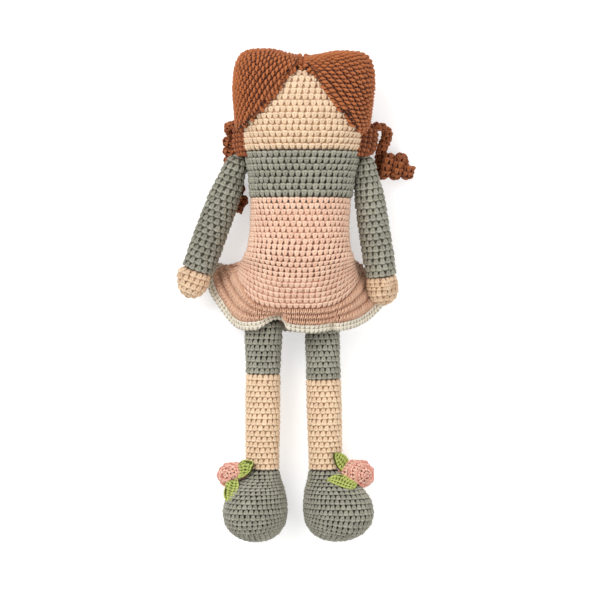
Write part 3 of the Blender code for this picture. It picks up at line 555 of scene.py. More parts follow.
YOKE_MIDDLE, HEAD_MIDDLE_HEIGHT = 0.033, 0.037
YOKE_SHIFT = np.array([0.0004, 0, 0])
TOP_ROOM = 0.0075
yoke_low, yoke_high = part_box("yoke")[0].y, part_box("yoke")[1].y
head_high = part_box("head")[1].y
yoke_lines = cross_rounds(solid("yoke"), yoke_low + 0.0002, yoke_high - 0.0002, YOKE_MIDDLE)
lining("yoke_lining", "yoke", "torso", "grey")
crochet("yoke_stitches", yoke_lines + YOKE_SHIFT, "grey", "torso", sink=0.0006, seed=2)
head_lines = cross_rounds(solid("head"), yoke_high + 0.0005, head_high - TOP_ROOM, HEAD_MIDDLE_HEIGHT)
lining("head_lining", "head", "torso", "skin")
crochet("head_stitches", head_lines, "skin", "torso", keep=not_under_hair, seed=3)

# The dress is worked on in pink: rounds that run straight at the waist and sag into arcs where the skirt flares. The
# skirt is the same piece of crochet, open at its end, with more stitches in each round.
dye("pink", (212, 150, 120), (255, 220, 194), (232, 184, 158))
WAIST_Y, BODICE_END_Y, SKIRT_END_Y = 0.0193, -0.0275, -0.0505
SKIRT_COLUMNS = 144
SKIRT_MIDDLE = 0.026
HALVINGS = 11


def sagging_lines(tree, rounds):
    """Closed lines round the dress.

    A round has its place at the front, its rise at the sides, its half width, and the power of the way across with
    which the sides rise."""
    lines = []
    for y, rise, half_width, power in rounds:
        centre = body_middle(y, SKIRT_MIDDLE)
        line, last = [], None
        for i in range(SKIRT_COLUMNS):
            turn = 2 * math.pi * i / SKIRT_COLUMNS
            direction = Vector((-math.sin(turn), 0, -math.cos(turn)))
            low, high = 0.0, rise
            for _ in range(HALVINGS):
                lift = (low + high) / 2
                hit = outermost(tree, centre + HEADWARD * lift, direction)
                aside = 0.0 if hit is None else min(1.0, abs((hit.x - centre.x) / half_width))
                if hit is None or lift < rise * aside**power:
                    low = lift
                else:
                    high = lift
                    last = hit
            line.append(hit or last or centre)
        lines.append(line)
    return smoothed(lines, 2)


def laid(lines, ring):
    """A grid through closed lines, closed the other way too where they are a ring."""
    rows, columns = lines.shape[:2]
    segments = rows if ring else rows - 1
    mesh = bmesh.new()
    bmesh.ops.create_grid(mesh, x_segments=columns, y_segments=segments, size=1)
    for vert in mesh.verts:
        i = round((vert.co.x + 1) / 2 * columns)
        k = round((vert.co.y + 1) / 2 * segments)
        vert.co = lines[k % rows][i % columns]
    bmesh.ops.remove_doubles(mesh, verts=mesh.verts, dist=MERGE)
    return mesh


# The skirt's edge, in millimetres: column, place across and height off the floor. It hangs level in front and
# turns up steeply at both sides.
SKIRT_EDGE = (
    (0, -2.5, 0.5), (8, -11, 0.5), (16, -24, 0.6), (20, -33, 1.0), (22, -44, 1.2), (24, -54, 1.6),
    (25, -61, 2.2), (26, -66.5, 3.0), (28, -68, 4.5), (30, -65.5, 7.0), (32, -60, 11.5),
    (36, -50, 20), (40, -43, 29), (44, -36.5, 35.5), (48, -29, 40), (52, -21.5, 41.5),
    (60, -11.5, 42), (72, -2.5, 42.6), (80, 3.6, 43.5), (88, 11.5, 43), (92, 15.5, 41.5),
    (96, 21.5, 40), (100, 28.5, 37.5), (104, 37, 32.5), (108, 44, 26), (112, 50.5, 17.5),
    (114, 56, 11), (116, 61.5, 6), (118, 58, 3), (120, 45, 1.6), (124, 28, 1.0), (128, 18.5, 0.6),
    (136, 6.2, 0.5), (144, -2.5, 0.5),
)
EDGE_OUTLINE = (
    (-67.7, -43.2), (-65.5, -49.7), (-62.3, -54.7), (-59.0, -59.0), (-56.2, -62.6), (-53.3, -66.8),
    (-50.4, -70.0), (-46.1, -73.2), (-41.8, -74.7), (-36.0, -75.2), (-27.4, -75.4), (-8.6, -76.6),
    (0.0, -77.2), (7.2, -77.0), (21.6, -76.2), (31.7, -75.7), (37.4, -74.6), (43.2, -72.8),
    (49.0, -69.2), (51.8, -67.1), (54.7, -64.6), (57.6, -61.3), (60.5, -58.1), (62.0, -55.5),
)
# At the left side the edge turns up behind the hand, by this many millimetres at these columns.
# At the left side the edge turns up behind the hand, by this many millimetres at these columns.
RAISED_SIDE = ((20, 0), (22, 16), (24, 38), (25, 33), (26, 14), (28, 1), (30, 0))
MM = 0.001


def skirt_edge_line():
    """The skirt's edge: half way round at each column, and as far down as the outline of the front hangs."""
    columns, across, heights = (MM * np.array(row) for row in zip(*SKIRT_EDGE))
    outline_x, outline_y = (MM * np.array(row) for row in zip(*EDGE_OUTLINE))
    steps = MM * np.arange(SKIRT_COLUMNS)
    x, z = np.interp(steps, columns, across), np.interp(steps, columns, heights)
    y = np.interp(x, outline_x, outline_y)
    raised_columns, raised = (MM * np.array(row) for row in zip(*RAISED_SIDE))
    y += np.interp(steps, raised_columns, raised)
    line = np.stack([x, y, z], axis=1)
    return smoothed([line], 3)[0]


cad_skirt = solid("dress", "frill", "hem")
cad_brim = sagging_lines(cad_skirt, [(SKIRT_END_Y + 0.0002, 0.0230, 0.0500, 2.0)])[0]
skirt_edge = skirt_edge_line()
skirt_mesh = laid(np.array([cad_brim, skirt_edge]), False)
skirt_mesh.from_mesh(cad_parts["dress"].data)
skirt_tree = BVHTree.FromBMesh(skirt_mesh)
skirt_mesh.free()

# The skirt's stitches are made in two halves, one on each side of the middle given here, and ride on no body.
SIDES = ("left", "right")
SKIRT_ROWS = 9
MIDDLE_X = -0.0025


def half(side):
    """Tells the stitches on one side of the middle."""
    return lambda point, outward: (point.x < MIDDLE_X) == (side == "left")


def yields(piece):
    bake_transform(piece)
    return piece


# The rounds of the dress, as sagging_lines takes them, and the numbers of the first, the bodice's last and the last.
ROUNDS = (
    (-0.0605, 0.0300, 0.0495, 4.0),
    (-0.0500, 0.0195, 0.0460, 3.0),
    (-0.0400, 0.0115, 0.0425, 2.4),
    (BODICE_END_Y, 0.0050, 0.0390, 2.0),
    (-0.0041, 0.0006, 0.036, 2.0),
    (WAIST_Y, 0.0, 0.036, 2.0),
)
NUMBERS = (0, 9, 20)
DRESS_PITCH = 0.0043
ends = (ROUNDS[0][0], BODICE_END_Y, WAIST_Y - 0.0002)
round_places = np.interp(range(NUMBERS[-1] + 1), NUMBERS, ends)
round_table = np.array(ROUNDS).T
round_values = [[np.interp(y, round_table[0], row) for row in round_table] for y in round_places]
dress_lines = sagging_lines(skirt_tree, round_values)
lining("dress_lining", "dress", "torso", "pink", 0.0016, smooth=3)
crochet("dress_stitches", dress_lines[SKIRT_ROWS:], "pink", "torso", DRESS_PITCH, seed=4)
skirt_lines = dress_lines[: SKIRT_ROWS + 1]
for side in SIDES:
    name, kept = "skirt_stitches_" + side, half(side)
    yields(crochet(name, skirt_lines, "pink", None, DRESS_PITCH, keep=kept, seed=4))

# The hair is two puffed lobes of brown crochet, their rows side by side along the parting, sewn over the crown.
# Each lobe ends in a thick edge along the face.
# The last colour, of the inner side, is darker than the yarn's dark one: painted shade in the gaps between stitches.
dye("brown", (98, 38, 10), (196, 114, 62), (72, 30, 12))
# The stitch of the hair: one fat slanted loop over a thin one, so that its rows look like ropes side by side.
ROPE_STRANDS = (
    (
        ((-0.55, 0.16, -0.06), (-0.20, 0.36, 0.20), (0.18, 0.62, 0.26), (0.55, 0.84, 0.0)),
        (0.14, 0.25, 0.25, 0.14),
    ),
    (
        ((-0.40, 0.80, -0.04), (-0.16, 0.66, 0.10), (0.12, 0.40, 0.06), (0.30, 0.14, -0.10)),
        (0.12, 0.17, 0.17, 0.12),
    ),
)
ROPE = stitch_template(ROPE_STRANDS)
ROPE_WIDTH, ROPE_HEIGHT = 0.0040, 0.0046
HEAD_MIDDLE = Vector((0.002, 0.086, 0.040))
LOBE_TILT = math.radians(22)
LOBE_WAYS = {"left": Vector((-0.78, 0.63, 0)), "right": Vector((0.76, 0.65, 0))}
LOBE_CENTRE_LENGTH = 0.004
LOBE_REACH = 0.0014
# Corners of each lobe's edge, from the parting to the corner of the face, counted from the middle of the face's lower
# end in halves of its width and in its height.
HAIRLINES = {
    "left": ((0.0, 1.10), (-0.06, 0.955), (-0.30, 0.72), (-0.50, 0.53), (-0.89, 0.265), (-1.2, 0.10)),
    "right": ((0.0, 1.10), (0.02, 0.90), (0.24, 0.71), (0.47, 0.51), (0.80, 0.245), (1.2, 0.06)),
}
FACE_X, FACE_Y, FACE_HALF_WIDTH, FACE_HEIGHT = PARTING_X, 0.0525, 0.046, 0.069
EDGE_SHIFTS = {"left": (-0.0026, 0.0002, 0.0030, 0.0062), "right": (-0.0046, -0.0014, 0.0018, 0.0052)}
CORNER_STEPS = 24
EDGE_POINTS = 60
OVERHEAD = 0.12


def even_line(points, count):
    """This many points, evenly spaced, along the line through these."""
    points = np.array(points)
    reach = np.concatenate([[0], np.cumsum(np.linalg.norm(np.diff(points, axis=0), axis=1))])
    where = np.linspace(0, reach[-1], count)
    return np.stack([np.interp(where, reach, points[:, axis]) for axis in range(3)], axis=1)


def stations(tree, start, end, up, pitch, open_start=True, open_end=False, fine=0.0004):
    """Places along an axis, and angles round its ends, that lie one row apart on the surface."""
    axis = (end - start).normalized()
    count = int((end - start).length / fine)
    tries = [(start.lerp(end, i / count), math.pi / 2) for i in range(count + 1)]
    if not open_start:
        tries = [(start, math.pi * (1 - i / 180)) for i in range(4, 90)] + tries
    if not open_end:
        tries += [(end, math.pi * (0.5 - i / 180)) for i in range(1, 87)]
    found, reach, last = [], 0, None
    for origin, angle in tries:
        hit = outermost(tree, origin, axis * math.cos(angle) + up * math.sin(angle))
        if hit is None:
            continue
        if last is not None:
            reach += (hit - last).length
        last = hit
        found.append((reach, origin, angle))
    reaches = np.array([place[0] for place in found])
    goals = np.linspace(0, reach, max(2, round(reach / pitch) + 1))
    return axis, [found[int(abs(reaches - goal).argmin())][1:] for goal in goals]


def near(tree, reach):
    """Tells the stitches this near to a surface."""
    return lambda point, outward: tree.find_nearest(point)[3] < reach


def hairline(tree, side, shift):
    """Points down the edge of one lobe, moved up the lobe by shift."""
    corners = [
        Vector((FACE_X + FACE_HALF_WIDTH * x, FACE_Y + FACE_HEIGHT * y, 0)) for x, y in HAIRLINES[side]
    ]
    line = []
    for here, there in zip(corners, corners[1:]):
        for i in range(CORNER_STEPS):
            spot = here.lerp(there, i / CORNER_STEPS) + LOBE_WAYS[side] * shift
            hit = tree.ray_cast(Vector((spot.x, spot.y, OVERHEAD)), -UP, OVERHEAD)[0]
            if hit is not None:
                line.append(hit)
    return line


for side in SIDES:
    axis = LOBE_WAYS[side].normalized() * math.cos(LOBE_TILT) - UP * math.sin(LOBE_TILT)
    front = (UP - axis * UP.dot(axis)).normalized()
    lobe, both = solid("hair_" + side), solid("hair_" + side, "head")
    lining("hair_lining_" + side, "hair_" + side, "torso", "brown")
    end = HEAD_MIDDLE + axis * LOBE_CENTRE_LENGTH
    axis, places = stations(both, HEAD_MIDDLE, end, front, 0.0043, False)
    crochet(
        "hair_stitches_" + side,
        tube_lines(both, axis, places, front, 1),
        "brown",
        "torso",
        ROPE_WIDTH,
        ROPE_HEIGHT,
        keep=near(lobe, LOBE_REACH),
        template=ROPE,
        seed=5,
    )
    edge = [even_line(hairline(both, side, shift), EDGE_POINTS) for shift in EDGE_SHIFTS[side]]
    edge = smoothed(edge, 6, closed=False)
    edge = edge if side == "left" else edge[::-1]
    name = "hair_edge_" + side
    crochet(name, edge, "brown", "torso", ROPE_WIDTH, 0.0044, -0.0010, False, template=ROPE, seed=6)

# Both lobes are sewn together along the parting, by a row that runs from the crown down the back.
PARTING_SHIFTS = (-0.0044, -0.0002, 0.0040)
PARTING_POINTS, PARTING_FROM, PARTING_STEP = 50, 51, 2.2
parting_tree = solid("hair_left", "hair_right", "head")
parting = []
for shift in PARTING_SHIFTS:
    line = []
    for i in range(PARTING_POINTS):
        angle = math.radians(PARTING_FROM - PARTING_STEP * i)
        start = Vector((PARTING_X + shift, HEAD_MIDDLE.y, HEAD_MIDDLE.z))
        hit = outermost(parting_tree, start, HEADWARD * math.cos(angle) + UP * math.sin(angle))
        line.append(hit or line[-1])
    parting.append(even_line(line, PARTING_POINTS))
parting.reverse()
crochet("hair_parting", parting, "brown", "torso", ROPE_WIDTH, ROPE_HEIGHT, 0.0, False, template=ROPE, seed=16)

# The lowest hair hangs behind the neck, in two layers of rows that run up and down, and bulges out beside the face down
# to the shoulders. The swell is how far it stands out at each angle round the neck, in degrees from the back, and a
# share of it holds for each line from the lowest up.
NAPE_OUT, NAPE_LAYER = 0.0034, 0.0012
NAPE_SWELL = (
    (-104, -0.0044), (-96, 0.0), (-84, 0.0042), (-66, 0.0042), (-45, 0.0), (45, 0.0), (64, 0.0088),
    (84, 0.0088), (96, 0.0010), (104, -0.0044),
)
NAPE_SHARES = (0.30, 0.85, 1.0, 1.0, 1.0, 0.8)
NAPE_SIDE = 21
NAPE_LOW, NAPE_HIGH = 0.0490, 0.0700


def nape_lines(out):
    """One layer of the lowest hair, this far out from the neck."""
    angles, swell = (np.array(row) for row in zip(*NAPE_SWELL))
    middle = COLUMNS // 2
    neck = cross_rounds(solid("head", "yoke"), NAPE_LOW, NAPE_HIGH, HEAD_MIDDLE_HEIGHT)
    lines = []
    for line, share in zip(neck, NAPE_SHARES):
        away = unit(line - np.array([[PARTING_X, line[0, 1], HEAD_MIDDLE_HEIGHT]]))
        turned = np.degrees(np.arctan2(away[:, 0], -away[:, 2]))
        whole = line + away * (out + share * np.interp(turned, angles, swell))[:, None]
        lines.append(np.roll(whole, middle, axis=0)[middle - NAPE_SIDE : middle + NAPE_SIDE + 1])
    return np.swapaxes(lines, 0, 1)[::-1]


nape = [nape_lines(NAPE_OUT), nape_lines(NAPE_OUT - NAPE_LAYER)]
# The lowest hair is painted darker than the rest of the hair: painted shade beside the face.
crochet("hair_nape", nape, "brown", "torso", 0.0036, 0.0040, 0.0010, False, template=ROPE, seed=17, painted_shade_shift=-0.4)

# The arms are grey sleeves worked in rounds and stuffed, each ending in a skin-coloured hand with a closed end and a
# bobble for the thumb. They are sewn on at the shoulders.
ARM_PITCH = 0.0045
ARM_SLOPE = 7.045
SHOULDER_HEIGHT = 0.030


def limb_ways(spread, slope):
    """The ways down a limb and out of its front, for its turn sideways and its slope off the floor in degrees."""
    sideways = Matrix.Rotation(math.radians(spread), 3, "Z")
    turn = sideways @ Matrix.Rotation(math.radians(slope - 90), 3, "X")
    return turn @ Vector((0, 0, -1)), turn @ Vector((0, -1, 0))


def placed(lines, place):
    """Lines moved by a matrix."""
    place = np.array(place)
    return np.array(lines) @ place[:3, :3].T + place[:3, 3]


# The left sleeve is painted darker than the right one: painted shade.
for side, pivot, spread, lean, sink, painted_shade_shift in (
    ("left", Vector((-0.046155, 0.042872, 0.030256)), -20.5, 0.0, -0.0001, -0.12),
    ("right", Vector((0.048278, 0.042872, 0.030256)), 7.4, -0.0225, 0.0004, 0.0),
):
    place = Matrix(((1, lean, 0, SHOULDER_HEIGHT * lean), (0, 1, 0, 0), (0, 0, 1, 0), (0, 0, 0, 1)))
    down, front = limb_ways(spread, ARM_SLOPE)
    body = "arm_" + side
    lining("sleeve_lining_" + side, "sleeve_" + side, body, "grey", sink, place=place)
    lining("hand_lining_" + side, "hand_" + side, body, "skin")
    sleeve, hand = solid("sleeve_" + side), solid("hand_" + side)
    start, end = pivot + down * 0.002, pivot + down * 0.0800
    axis, places = stations(sleeve, start, end, front, ARM_PITCH, False, True)
    lines = placed(tube_lines(sleeve, axis, places, front), place)
    crochet("sleeve_stitches_" + side, lines, "grey", body, sink=sink, seed=7, painted_shade_shift=painted_shade_shift)
    start, end = pivot + down * 0.0806, pivot + down * 0.094
    axis, places = stations(hand, start, end, front, ARM_PITCH)
    lines = tube_lines(hand, axis, places, front)
    # The hands are painted darker than the face: painted shade.
    crochet("hand_stitches_" + side, lines, "skin", body, seed=8, painted_shade_shift=-0.22)

# The legs are stuffed tubes worked in rounds: a grey legging, a skin-coloured lower leg and a grey shoe that closes the
# end. They are sewn to the body's base. Each legging is a little wider where it leaves the skirt.
HIPS = {
    "left": (Vector((-0.026395, -0.0663, 0.020)), -0.5, 1.821),
    "right": (Vector((0.015905, -0.0663, 0.020)), 1.4, 1.744),
}
WIDEST_AT = 0.25
for side, legging_end, flare in (("left", 0.0405, 0.14), ("right", 0.0445, 0.05)):
    pivot, spread, slope = HIPS[side]
    down, front = limb_ways(spread, slope)
    parts = (
        ("legging_", "grey", 0.003, legging_end - 0.0002, True, 0.0040, 0.0012, 0.0009),
        ("lower_leg_", "skin", legging_end + 0.0006, 0.1098, True, 0.0041, 0.0012, 0.0009),
        ("shoe_", "grey", 0.1108, 0.140, False, 0.0038, 0.0016, 0.0007),
    )
    for part, colour, start, end, open_end, pitch, shrink, sink in parts:
        name, body = part + side, "leg_" + side
        lining(part + "lining_" + side, name, body, colour, shrink)
        tube = solid(name)
        start, end = pivot + down * start, pivot + down * end
        axis, places = stations(tube, start, end, front, pitch, True, open_end)
        lines = tube_lines(tube, axis, places, front)
        if part == "legging_":
            middle = lines.mean(axis=1, keepdims=True)
            wider = 1 + np.interp(np.linspace(0, 1, len(lines)), (0, WIDEST_AT, 1), (0, flare, 0))
            lines = middle + (lines - middle) * wider[:, None, None]
        crochet(part + "stitches_" + side, lines, colour, body, pitch + 0.0001, sink=sink, seed=9)

# The frill is one deep round of tall pink stitches, worked on round the skirt's end, that falls in folds. The hem is
# two rounds of cream yarn worked along its edge.
dye("frill_pink", (200, 146, 116), (244, 202, 172), (206, 152, 122))
dye("cream", (214, 200, 176), (250, 243, 226), (228, 218, 198))
# The tall stitch of the frill: two posts of yarn side by side, crossed by a wrap, under a low loop.
POST_STRANDS = (
    (
        ((-0.26, -0.06, -0.06), (-0.33, 0.30, 0.18), (-0.19, 0.66, 0.28), (-0.27, 1.04, 0.04)),
        (0.15, 0.18, 0.18, 0.15),
    ),
    (
        ((0.24, -0.06, -0.06), (0.18, 0.34, 0.26), (0.32, 0.70, 0.18), (0.23, 1.04, 0.04)),
        (0.15, 0.18, 0.18, 0.15),
    ),
    (
        ((-0.52, 0.40, 0.0), (-0.30, 0.52, 0.38), (-0.05, 0.62, 0.32), (0.10, 0.70, 0.02)),
        (0.08, 0.13, 0.13, 0.08),
    ),
)
POST = stitch_template(POST_STRANDS)
# The folds at the front: place across, and how far the edge moves up off the floor and towards the head there.
FOLDS = (
    (-0.0700, 0.0, 0.0), (-0.0526, 0.0, -0.0010), (-0.0410, 0.0025, -0.0010),
    (-0.0300, 0.0010, 0.0), (-0.0250, -0.0030, 0.0035), (-0.0180, -0.0075, 0.0080),
    (-0.0115, -0.0060, 0.0072), (-0.0095, 0.0, 0.0010), (-0.0020, 0.0015, 0.0),
    (0.0108, 0.0020, -0.0010), (0.0210, -0.0010, 0.0), (0.0242, -0.0055, 0.0008),
    (0.0258, 0.0042, -0.0008), (0.0324, 0.0030, 0.0), (0.0430, 0.0010, 0.0005), (0.0526, 0.0, 0.0),
    (0.0700, 0.0, 0.0),
)
HEM_WIDTH = 0.0058
FRONT_FROM, FRONT_DEPTH = 0.010, 0.02


def folded(line, share):
    """A line of the frill moved by its folds, as far as this share."""
    across, up, headward = np.array(FOLDS).T
    front = np.clip((line[:, 2] - FRONT_FROM) / FRONT_DEPTH, 0, 1) * share
    moved = line.copy()
    moved[:, 2] += np.interp(line[:, 0], across, up) * front
    moved[:, 1] += np.interp(line[:, 0], across, headward) * front
    return moved


def cloth(name, lines, sink, thickness, colour, side):
    """Half of a closed thin band a little under these lines, the inner side of a flat piece of crochet."""
    lines = np.array(lines)
    along = np.roll(lines, -1, axis=1) - np.roll(lines, 1, axis=1)
    outward = unit(smoothed(unit(np.cross(along, np.gradient(lines, axis=0))), 6))
    loops = np.concatenate([lines - outward * sink, (lines - outward * (sink + thickness))[::-1]])
    loops[..., 2] = pressed(loops[..., 2])
    mesh = laid(loops, True)
    kept_side = (-1 if side == "left" else 1, 0, 0)
    geometry = mesh.verts[:] + mesh.edges[:] + mesh.faces[:]
    bmesh.ops.bisect_plane(
        mesh, geom=geometry, plane_co=(MIDDLE_X, 0, 0), plane_no=kept_side, clear_inner=True
    )
    bmesh.ops.holes_fill(mesh, edges=[edge for edge in mesh.edges if edge.is_boundary])
    bmesh.ops.recalc_face_normals(mesh, faces=mesh.faces)
    data = bpy.data.meshes.new(name)
    mesh.to_mesh(data)
    mesh.free()
    return yields(finish_piece(name, data, BACKINGS[colour], None))


# The frill starts at the brim, the first round of the dress, which lies higher at the left side.
HIGH_BRIM = (-0.0603, 0.0370, 0.0485, 4.0)
HIGH_FROM, HIGH_OVER = -0.030, 0.012
FRILL_LINES = 6
high_brim = sagging_lines(skirt_tree, [HIGH_BRIM])[0]
at_left = np.clip((HIGH_FROM - dress_lines[0][:, :1]) / HIGH_OVER, 0, 1)
brim = dress_lines[0] * (1 - at_left) + high_brim * at_left
fall = np.linalg.norm(skirt_edge - brim, axis=1)
hem_share = (1 - HEM_WIDTH / fall)[:, None]


def skirt_line(share, fold):
    """A line part of the way down the frill, from the brim to the edge, with its folds."""
    return folded(brim * (1 - share) + skirt_edge * share, fold)


frill_lines = [skirt_line(hem_share * k / FRILL_LINES, k / (FRILL_LINES + 1)) for k in range(FRILL_LINES, -1, -1)]
hem_lines = [
    skirt_line(hem_share + (1 - hem_share) * k / 2, (FRILL_LINES + k / 2) / (FRILL_LINES + 1))
    for k in (2, 1, 0)
]
for side in SIDES:
    frill_cloth = cloth("frill_cloth_" + side, frill_lines, 0.0012, 0.0010, "frill_pink", side)
    cloth("skirt_backing_" + side, dress_lines[:7], 0.0012, 0.0010, "pink", side)
    hem_cloth = cloth("hem_cloth_" + side, hem_lines, 0.0005, 0.0012, "cream", side)
    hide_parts("frill")
    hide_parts("hem")
    posts = crochet(
        "frill_stitches_" + side,
        frill_lines[::2],
        "frill_pink",
        None,
        0.0030,
        0.0056,
        0.0004,
        keep=half(side),
        template=POST,
        seed=12,
    )
    name, kept = "hem_stitches_" + side, half(side)
    hem_stitches = crochet(name, hem_lines, "cream", None, 0.0034, 0.0028, 0.0003, keep=kept, seed=13)
    yields(posts)
    yields(hem_stitches)

# The base closes the body's lower end under the skirt: a grey bag of single crochet in rounds, worked on at the waist
# and drawn shut between the legs.
BASE_FROM, BASE_LENGTH, BASE_MIDDLE = -0.029, 0.008, 0.033
base_tree = solid("body_base")
base_start = body_middle(BASE_FROM, BASE_MIDDLE)
axis, places = stations(base_tree, base_start, base_start - HEADWARD * BASE_LENGTH, UP, 0.0045)
lining("base_lining", "body_base", "torso", "grey")
crochet("base_stitches", tube_lines(base_tree, axis, places, UP), "grey", "torso", seed=14)

# The pigtails: long narrow strips of brown crochet that twist into curls, each sewn on at the hair's lower corner. The
# right one lies in a loop and ends in a corkscrew, and the left one curls down under the arm.
PIGTAIL_REACH = 0.030
RIGHT_ROUTE = (
    (0.00, 0.00, 0.00), (0.13, 0.06, -0.02), (0.29, 0.11, -0.08), (0.43, 0.02, -0.20),
    (0.46, -0.12, -0.32), (0.38, -0.29, -0.42), (0.31, -0.48, -0.52), (0.28, -0.68, -0.62),
)
LEFT_ROUTE = ((0.00, 0.00, 0.00), (-0.12, 0.03, -0.08), (-0.24, -0.04, -0.22))
LEFT_GUIDE = ((-0.14, -0.20), (-0.19, -0.95), (0.15, -2.02))
RIGHT_TURNS, RIGHT_LENGTH, RIGHT_RADIUS_Y, RIGHT_RADIUS_Z, RIGHT_STEPS = 2.5, 0.0215, 0.0072, 0.0064, 60
LEFT_TURNS, LEFT_RADIUS, LEFT_HEIGHT, LEFT_STEPS = 7, 0.0036, 0.0064, 168


def right_path(root):
    """A loop off the head, a stem down to the floor and a corkscrew."""
    points = [root + Vector(share) * PIGTAIL_REACH for share in RIGHT_ROUTE]
    start = Vector((points[-1].x + 0.0003, points[-1].y - 0.0052, 0.0096))
    for i in range(RIGHT_STEPS + 1):
        angle = 2 * math.pi * RIGHT_TURNS * i / RIGHT_STEPS
        along, aside, up = RIGHT_LENGTH * i / RIGHT_STEPS, math.sin(angle), math.cos(angle)
        points.append(start + Vector((along, -RIGHT_RADIUS_Y * aside, -RIGHT_RADIUS_Z * up)))
    return points


def left_path(root):
    """Tight curls that run down past the shoulder, under the arm."""
    points = [root + Vector(share) * PIGTAIL_REACH for share in LEFT_ROUTE]
    guide = [root + Vector((*share, 0)) * PIGTAIL_REACH for share in LEFT_GUIDE]
    for i in range(LEFT_STEPS + 1):
        t = i / LEFT_STEPS
        along = guide[0] * (1 - t) ** 2 + guide[1] * 2 * t * (1 - t) + guide[2] * t * t
        angle = math.pi / 2 + 2 * math.pi * LEFT_TURNS * t
        x, z = along.x - LEFT_RADIUS * math.cos(angle), LEFT_HEIGHT + LEFT_RADIUS * math.sin(angle)
        points.append(Vector((x, along.y, z)))
    return points


RING_SIDES, RING_SAMPLES = 20, 8
WIDE_KEPT, WIDE_TURNED = 0.6, 0.4


def strip_lines(points, count, half_width, half_thickness, wide):
    """Rings round a strip that follows these points, its wide way turned as near as it can to a given one."""
    path = smoothed([even_line(points, RING_SAMPLES * count + 1)], 6, closed=False)[0]
    tangents = unit(np.gradient(path, axis=0))
    lines, across = [], wide
    for k in range(0, len(path), RING_SAMPLES):
        tangent = Vector(tangents[k])
        across = across * WIDE_KEPT + wide * WIDE_TURNED
        across = (across - tangent * across.dot(tangent)).normalized()
        thin = tangent.cross(across)
        line = []
        for i in range(RING_SIDES):
            turn = 2 * math.pi * i / RING_SIDES
            offset = across * half_width * math.cos(turn) + thin * half_thickness * math.sin(turn)
            line.append(Vector(path[k]) + offset)
        lines.append(line)
    return np.array(lines)


left_points = left_path(Vector((-0.046051, 0.07182, 0.024)))
right_points = right_path(Vector((0.049762, 0.068715, 0.024)))
for side, path, count, half_width, half_thickness, wide, stitch in (
    ("left", left_points, 58, 0.0032, 0.0021, Vector((0, 1, 0.2)), 0.0034),
    ("right", right_points, 38, 0.0041, 0.0023, Vector((1, 0.15, 0.1)), 0.0038),
):
    body = "pigtail_" + side
    lining("pigtail_lining_" + side, body, body, "brown", 0.0011)
    lines = strip_lines(path, count, half_width, half_thickness, wide.normalized())
    # The pigtails are painted darker than the hair: painted shade.
    crochet("pigtail_stitches_" + side, lines, "brown", body, stitch, stitch, 0.0003, seed=15, painted_shade_shift=-0.2)

# The arms and legs are sewn on with grey yarn, a ring of stitches round each. Loose polyester fibre fills the body, the
# arms and the legs.
BACKINGS["filling"] = backing("filling_fibre", (236, 233, 226))
for side in SIDES:
    for place in ("shoulder", "hip"):
        node = f"{place}_stitches_{side}"
        lining(place + "_thread_" + side, node, "torso", "grey", 0.0, look=YARNS["grey"])
    lining("arm_filling_" + side, "arm_stuffing_" + side, "arm_" + side, "filling", 0.0)
    lining("leg_filling_" + side, "leg_stuffing_" + side, "leg_" + side, "filling", 0.0)
lining("body_filling", "body_stuffing", "torso", "filling", 0.0)

# The flowers are strips of coral crochet rolled up into rosettes, each sewn to the outer side of an ankle. The rolled
# strip's edge stands up in a spiral of petals.
# The last colour, of the inner side, is darker than the yarn's dark one: painted shade in the gaps between stitches.
dye("coral", (230, 140, 122), (255, 214, 194), (170, 104, 84))
FLOWER_DOWN, FLOWER_AZIMUTH, FLOWER_DEPTH, FACING_UP = 0.1142, 72, 0.0100, 0.9
PETAL_STEPS, PETAL_TURNS, PETAL_FROM, PETAL_LEAN = 140, 3.0, 8, 92
WAVE, WAVES = 0.0010, 7.3
PETAL_IN, PETAL_OUT = 0.0008, 0.0016
for side, sign, reach in (("left", -1, 0.0320), ("right", 1, 0.0350)):
    pivot, spread, slope = HIPS[side]
    down, front = limb_ways(spread, slope)
    azimuth = math.radians(sign * FLOWER_AZIMUTH)
    outward = front.cross(down) * math.sin(azimuth) + front * math.cos(azimuth)
    bloom = solid("flower_" + side)
    lining("flower_lining_" + side, "flower_" + side, "leg_" + side, "coral")
    heart = pivot + down * FLOWER_DOWN + outward * (reach - FLOWER_DEPTH)
    facing = (outward + UP * FACING_UP).normalized()
    upward = -(down - facing * down.dot(facing)).normalized()
    axis, places = stations(bloom, heart, heart + facing * 0.0006, upward, 0.0027, False, False)
    rounds = tube_lines(bloom, axis, places, upward, 1)
    crochet("flower_rounds_" + side, rounds, "coral", "leg_" + side, 0.0028, 0.0036, 0.0006, seed=18)
    across = facing.cross(upward)
    inner, outer = [], []
    for i in range(PETAL_STEPS):
        t = i / (PETAL_STEPS - 1)
        spin, lean = 2 * math.pi * PETAL_TURNS * t, math.radians(PETAL_FROM + PETAL_LEAN * t)
        aside = upward * math.cos(spin) + across * math.sin(spin)
        direction = facing * math.cos(lean) + aside * math.sin(lean)
        hit = outermost(bloom, heart, direction)
        if hit is None:
            continue
        wave = WAVE * math.sin(WAVES * spin)
        inner.append(hit - direction * PETAL_IN)
        bent = direction.cross(facing).cross(direction) * wave
        outer.append(hit + direction * (PETAL_OUT + 0.5 * wave) + bent)
    ruffle = [even_line(inner, 120), even_line(outer, 120)]
    crochet("flower_petals_" + side, ruffle, "coral", "leg_" + side, 0.0026, 0.0026, 0.0, False, seed=19)

# The leaves are green, worked on both sides of a chain along the middle vein, and sewn to the shoe beside the flower.
# They lie over it, and the lower left one turns its face to the camera.
# The last colour, of the inner side, is darker than the yarn's dark one: painted shade in the gaps between stitches.
dye("green", (128, 142, 46), (210, 220, 124), (92, 100, 34))
LEAF_LINES, LEAF_SAMPLES, LEAF_END, LEAF_SPAN = 25, 60, 0.0003, 1.1
OFF_LEAF, THROUGH_LEAF = 0.02, 0.04


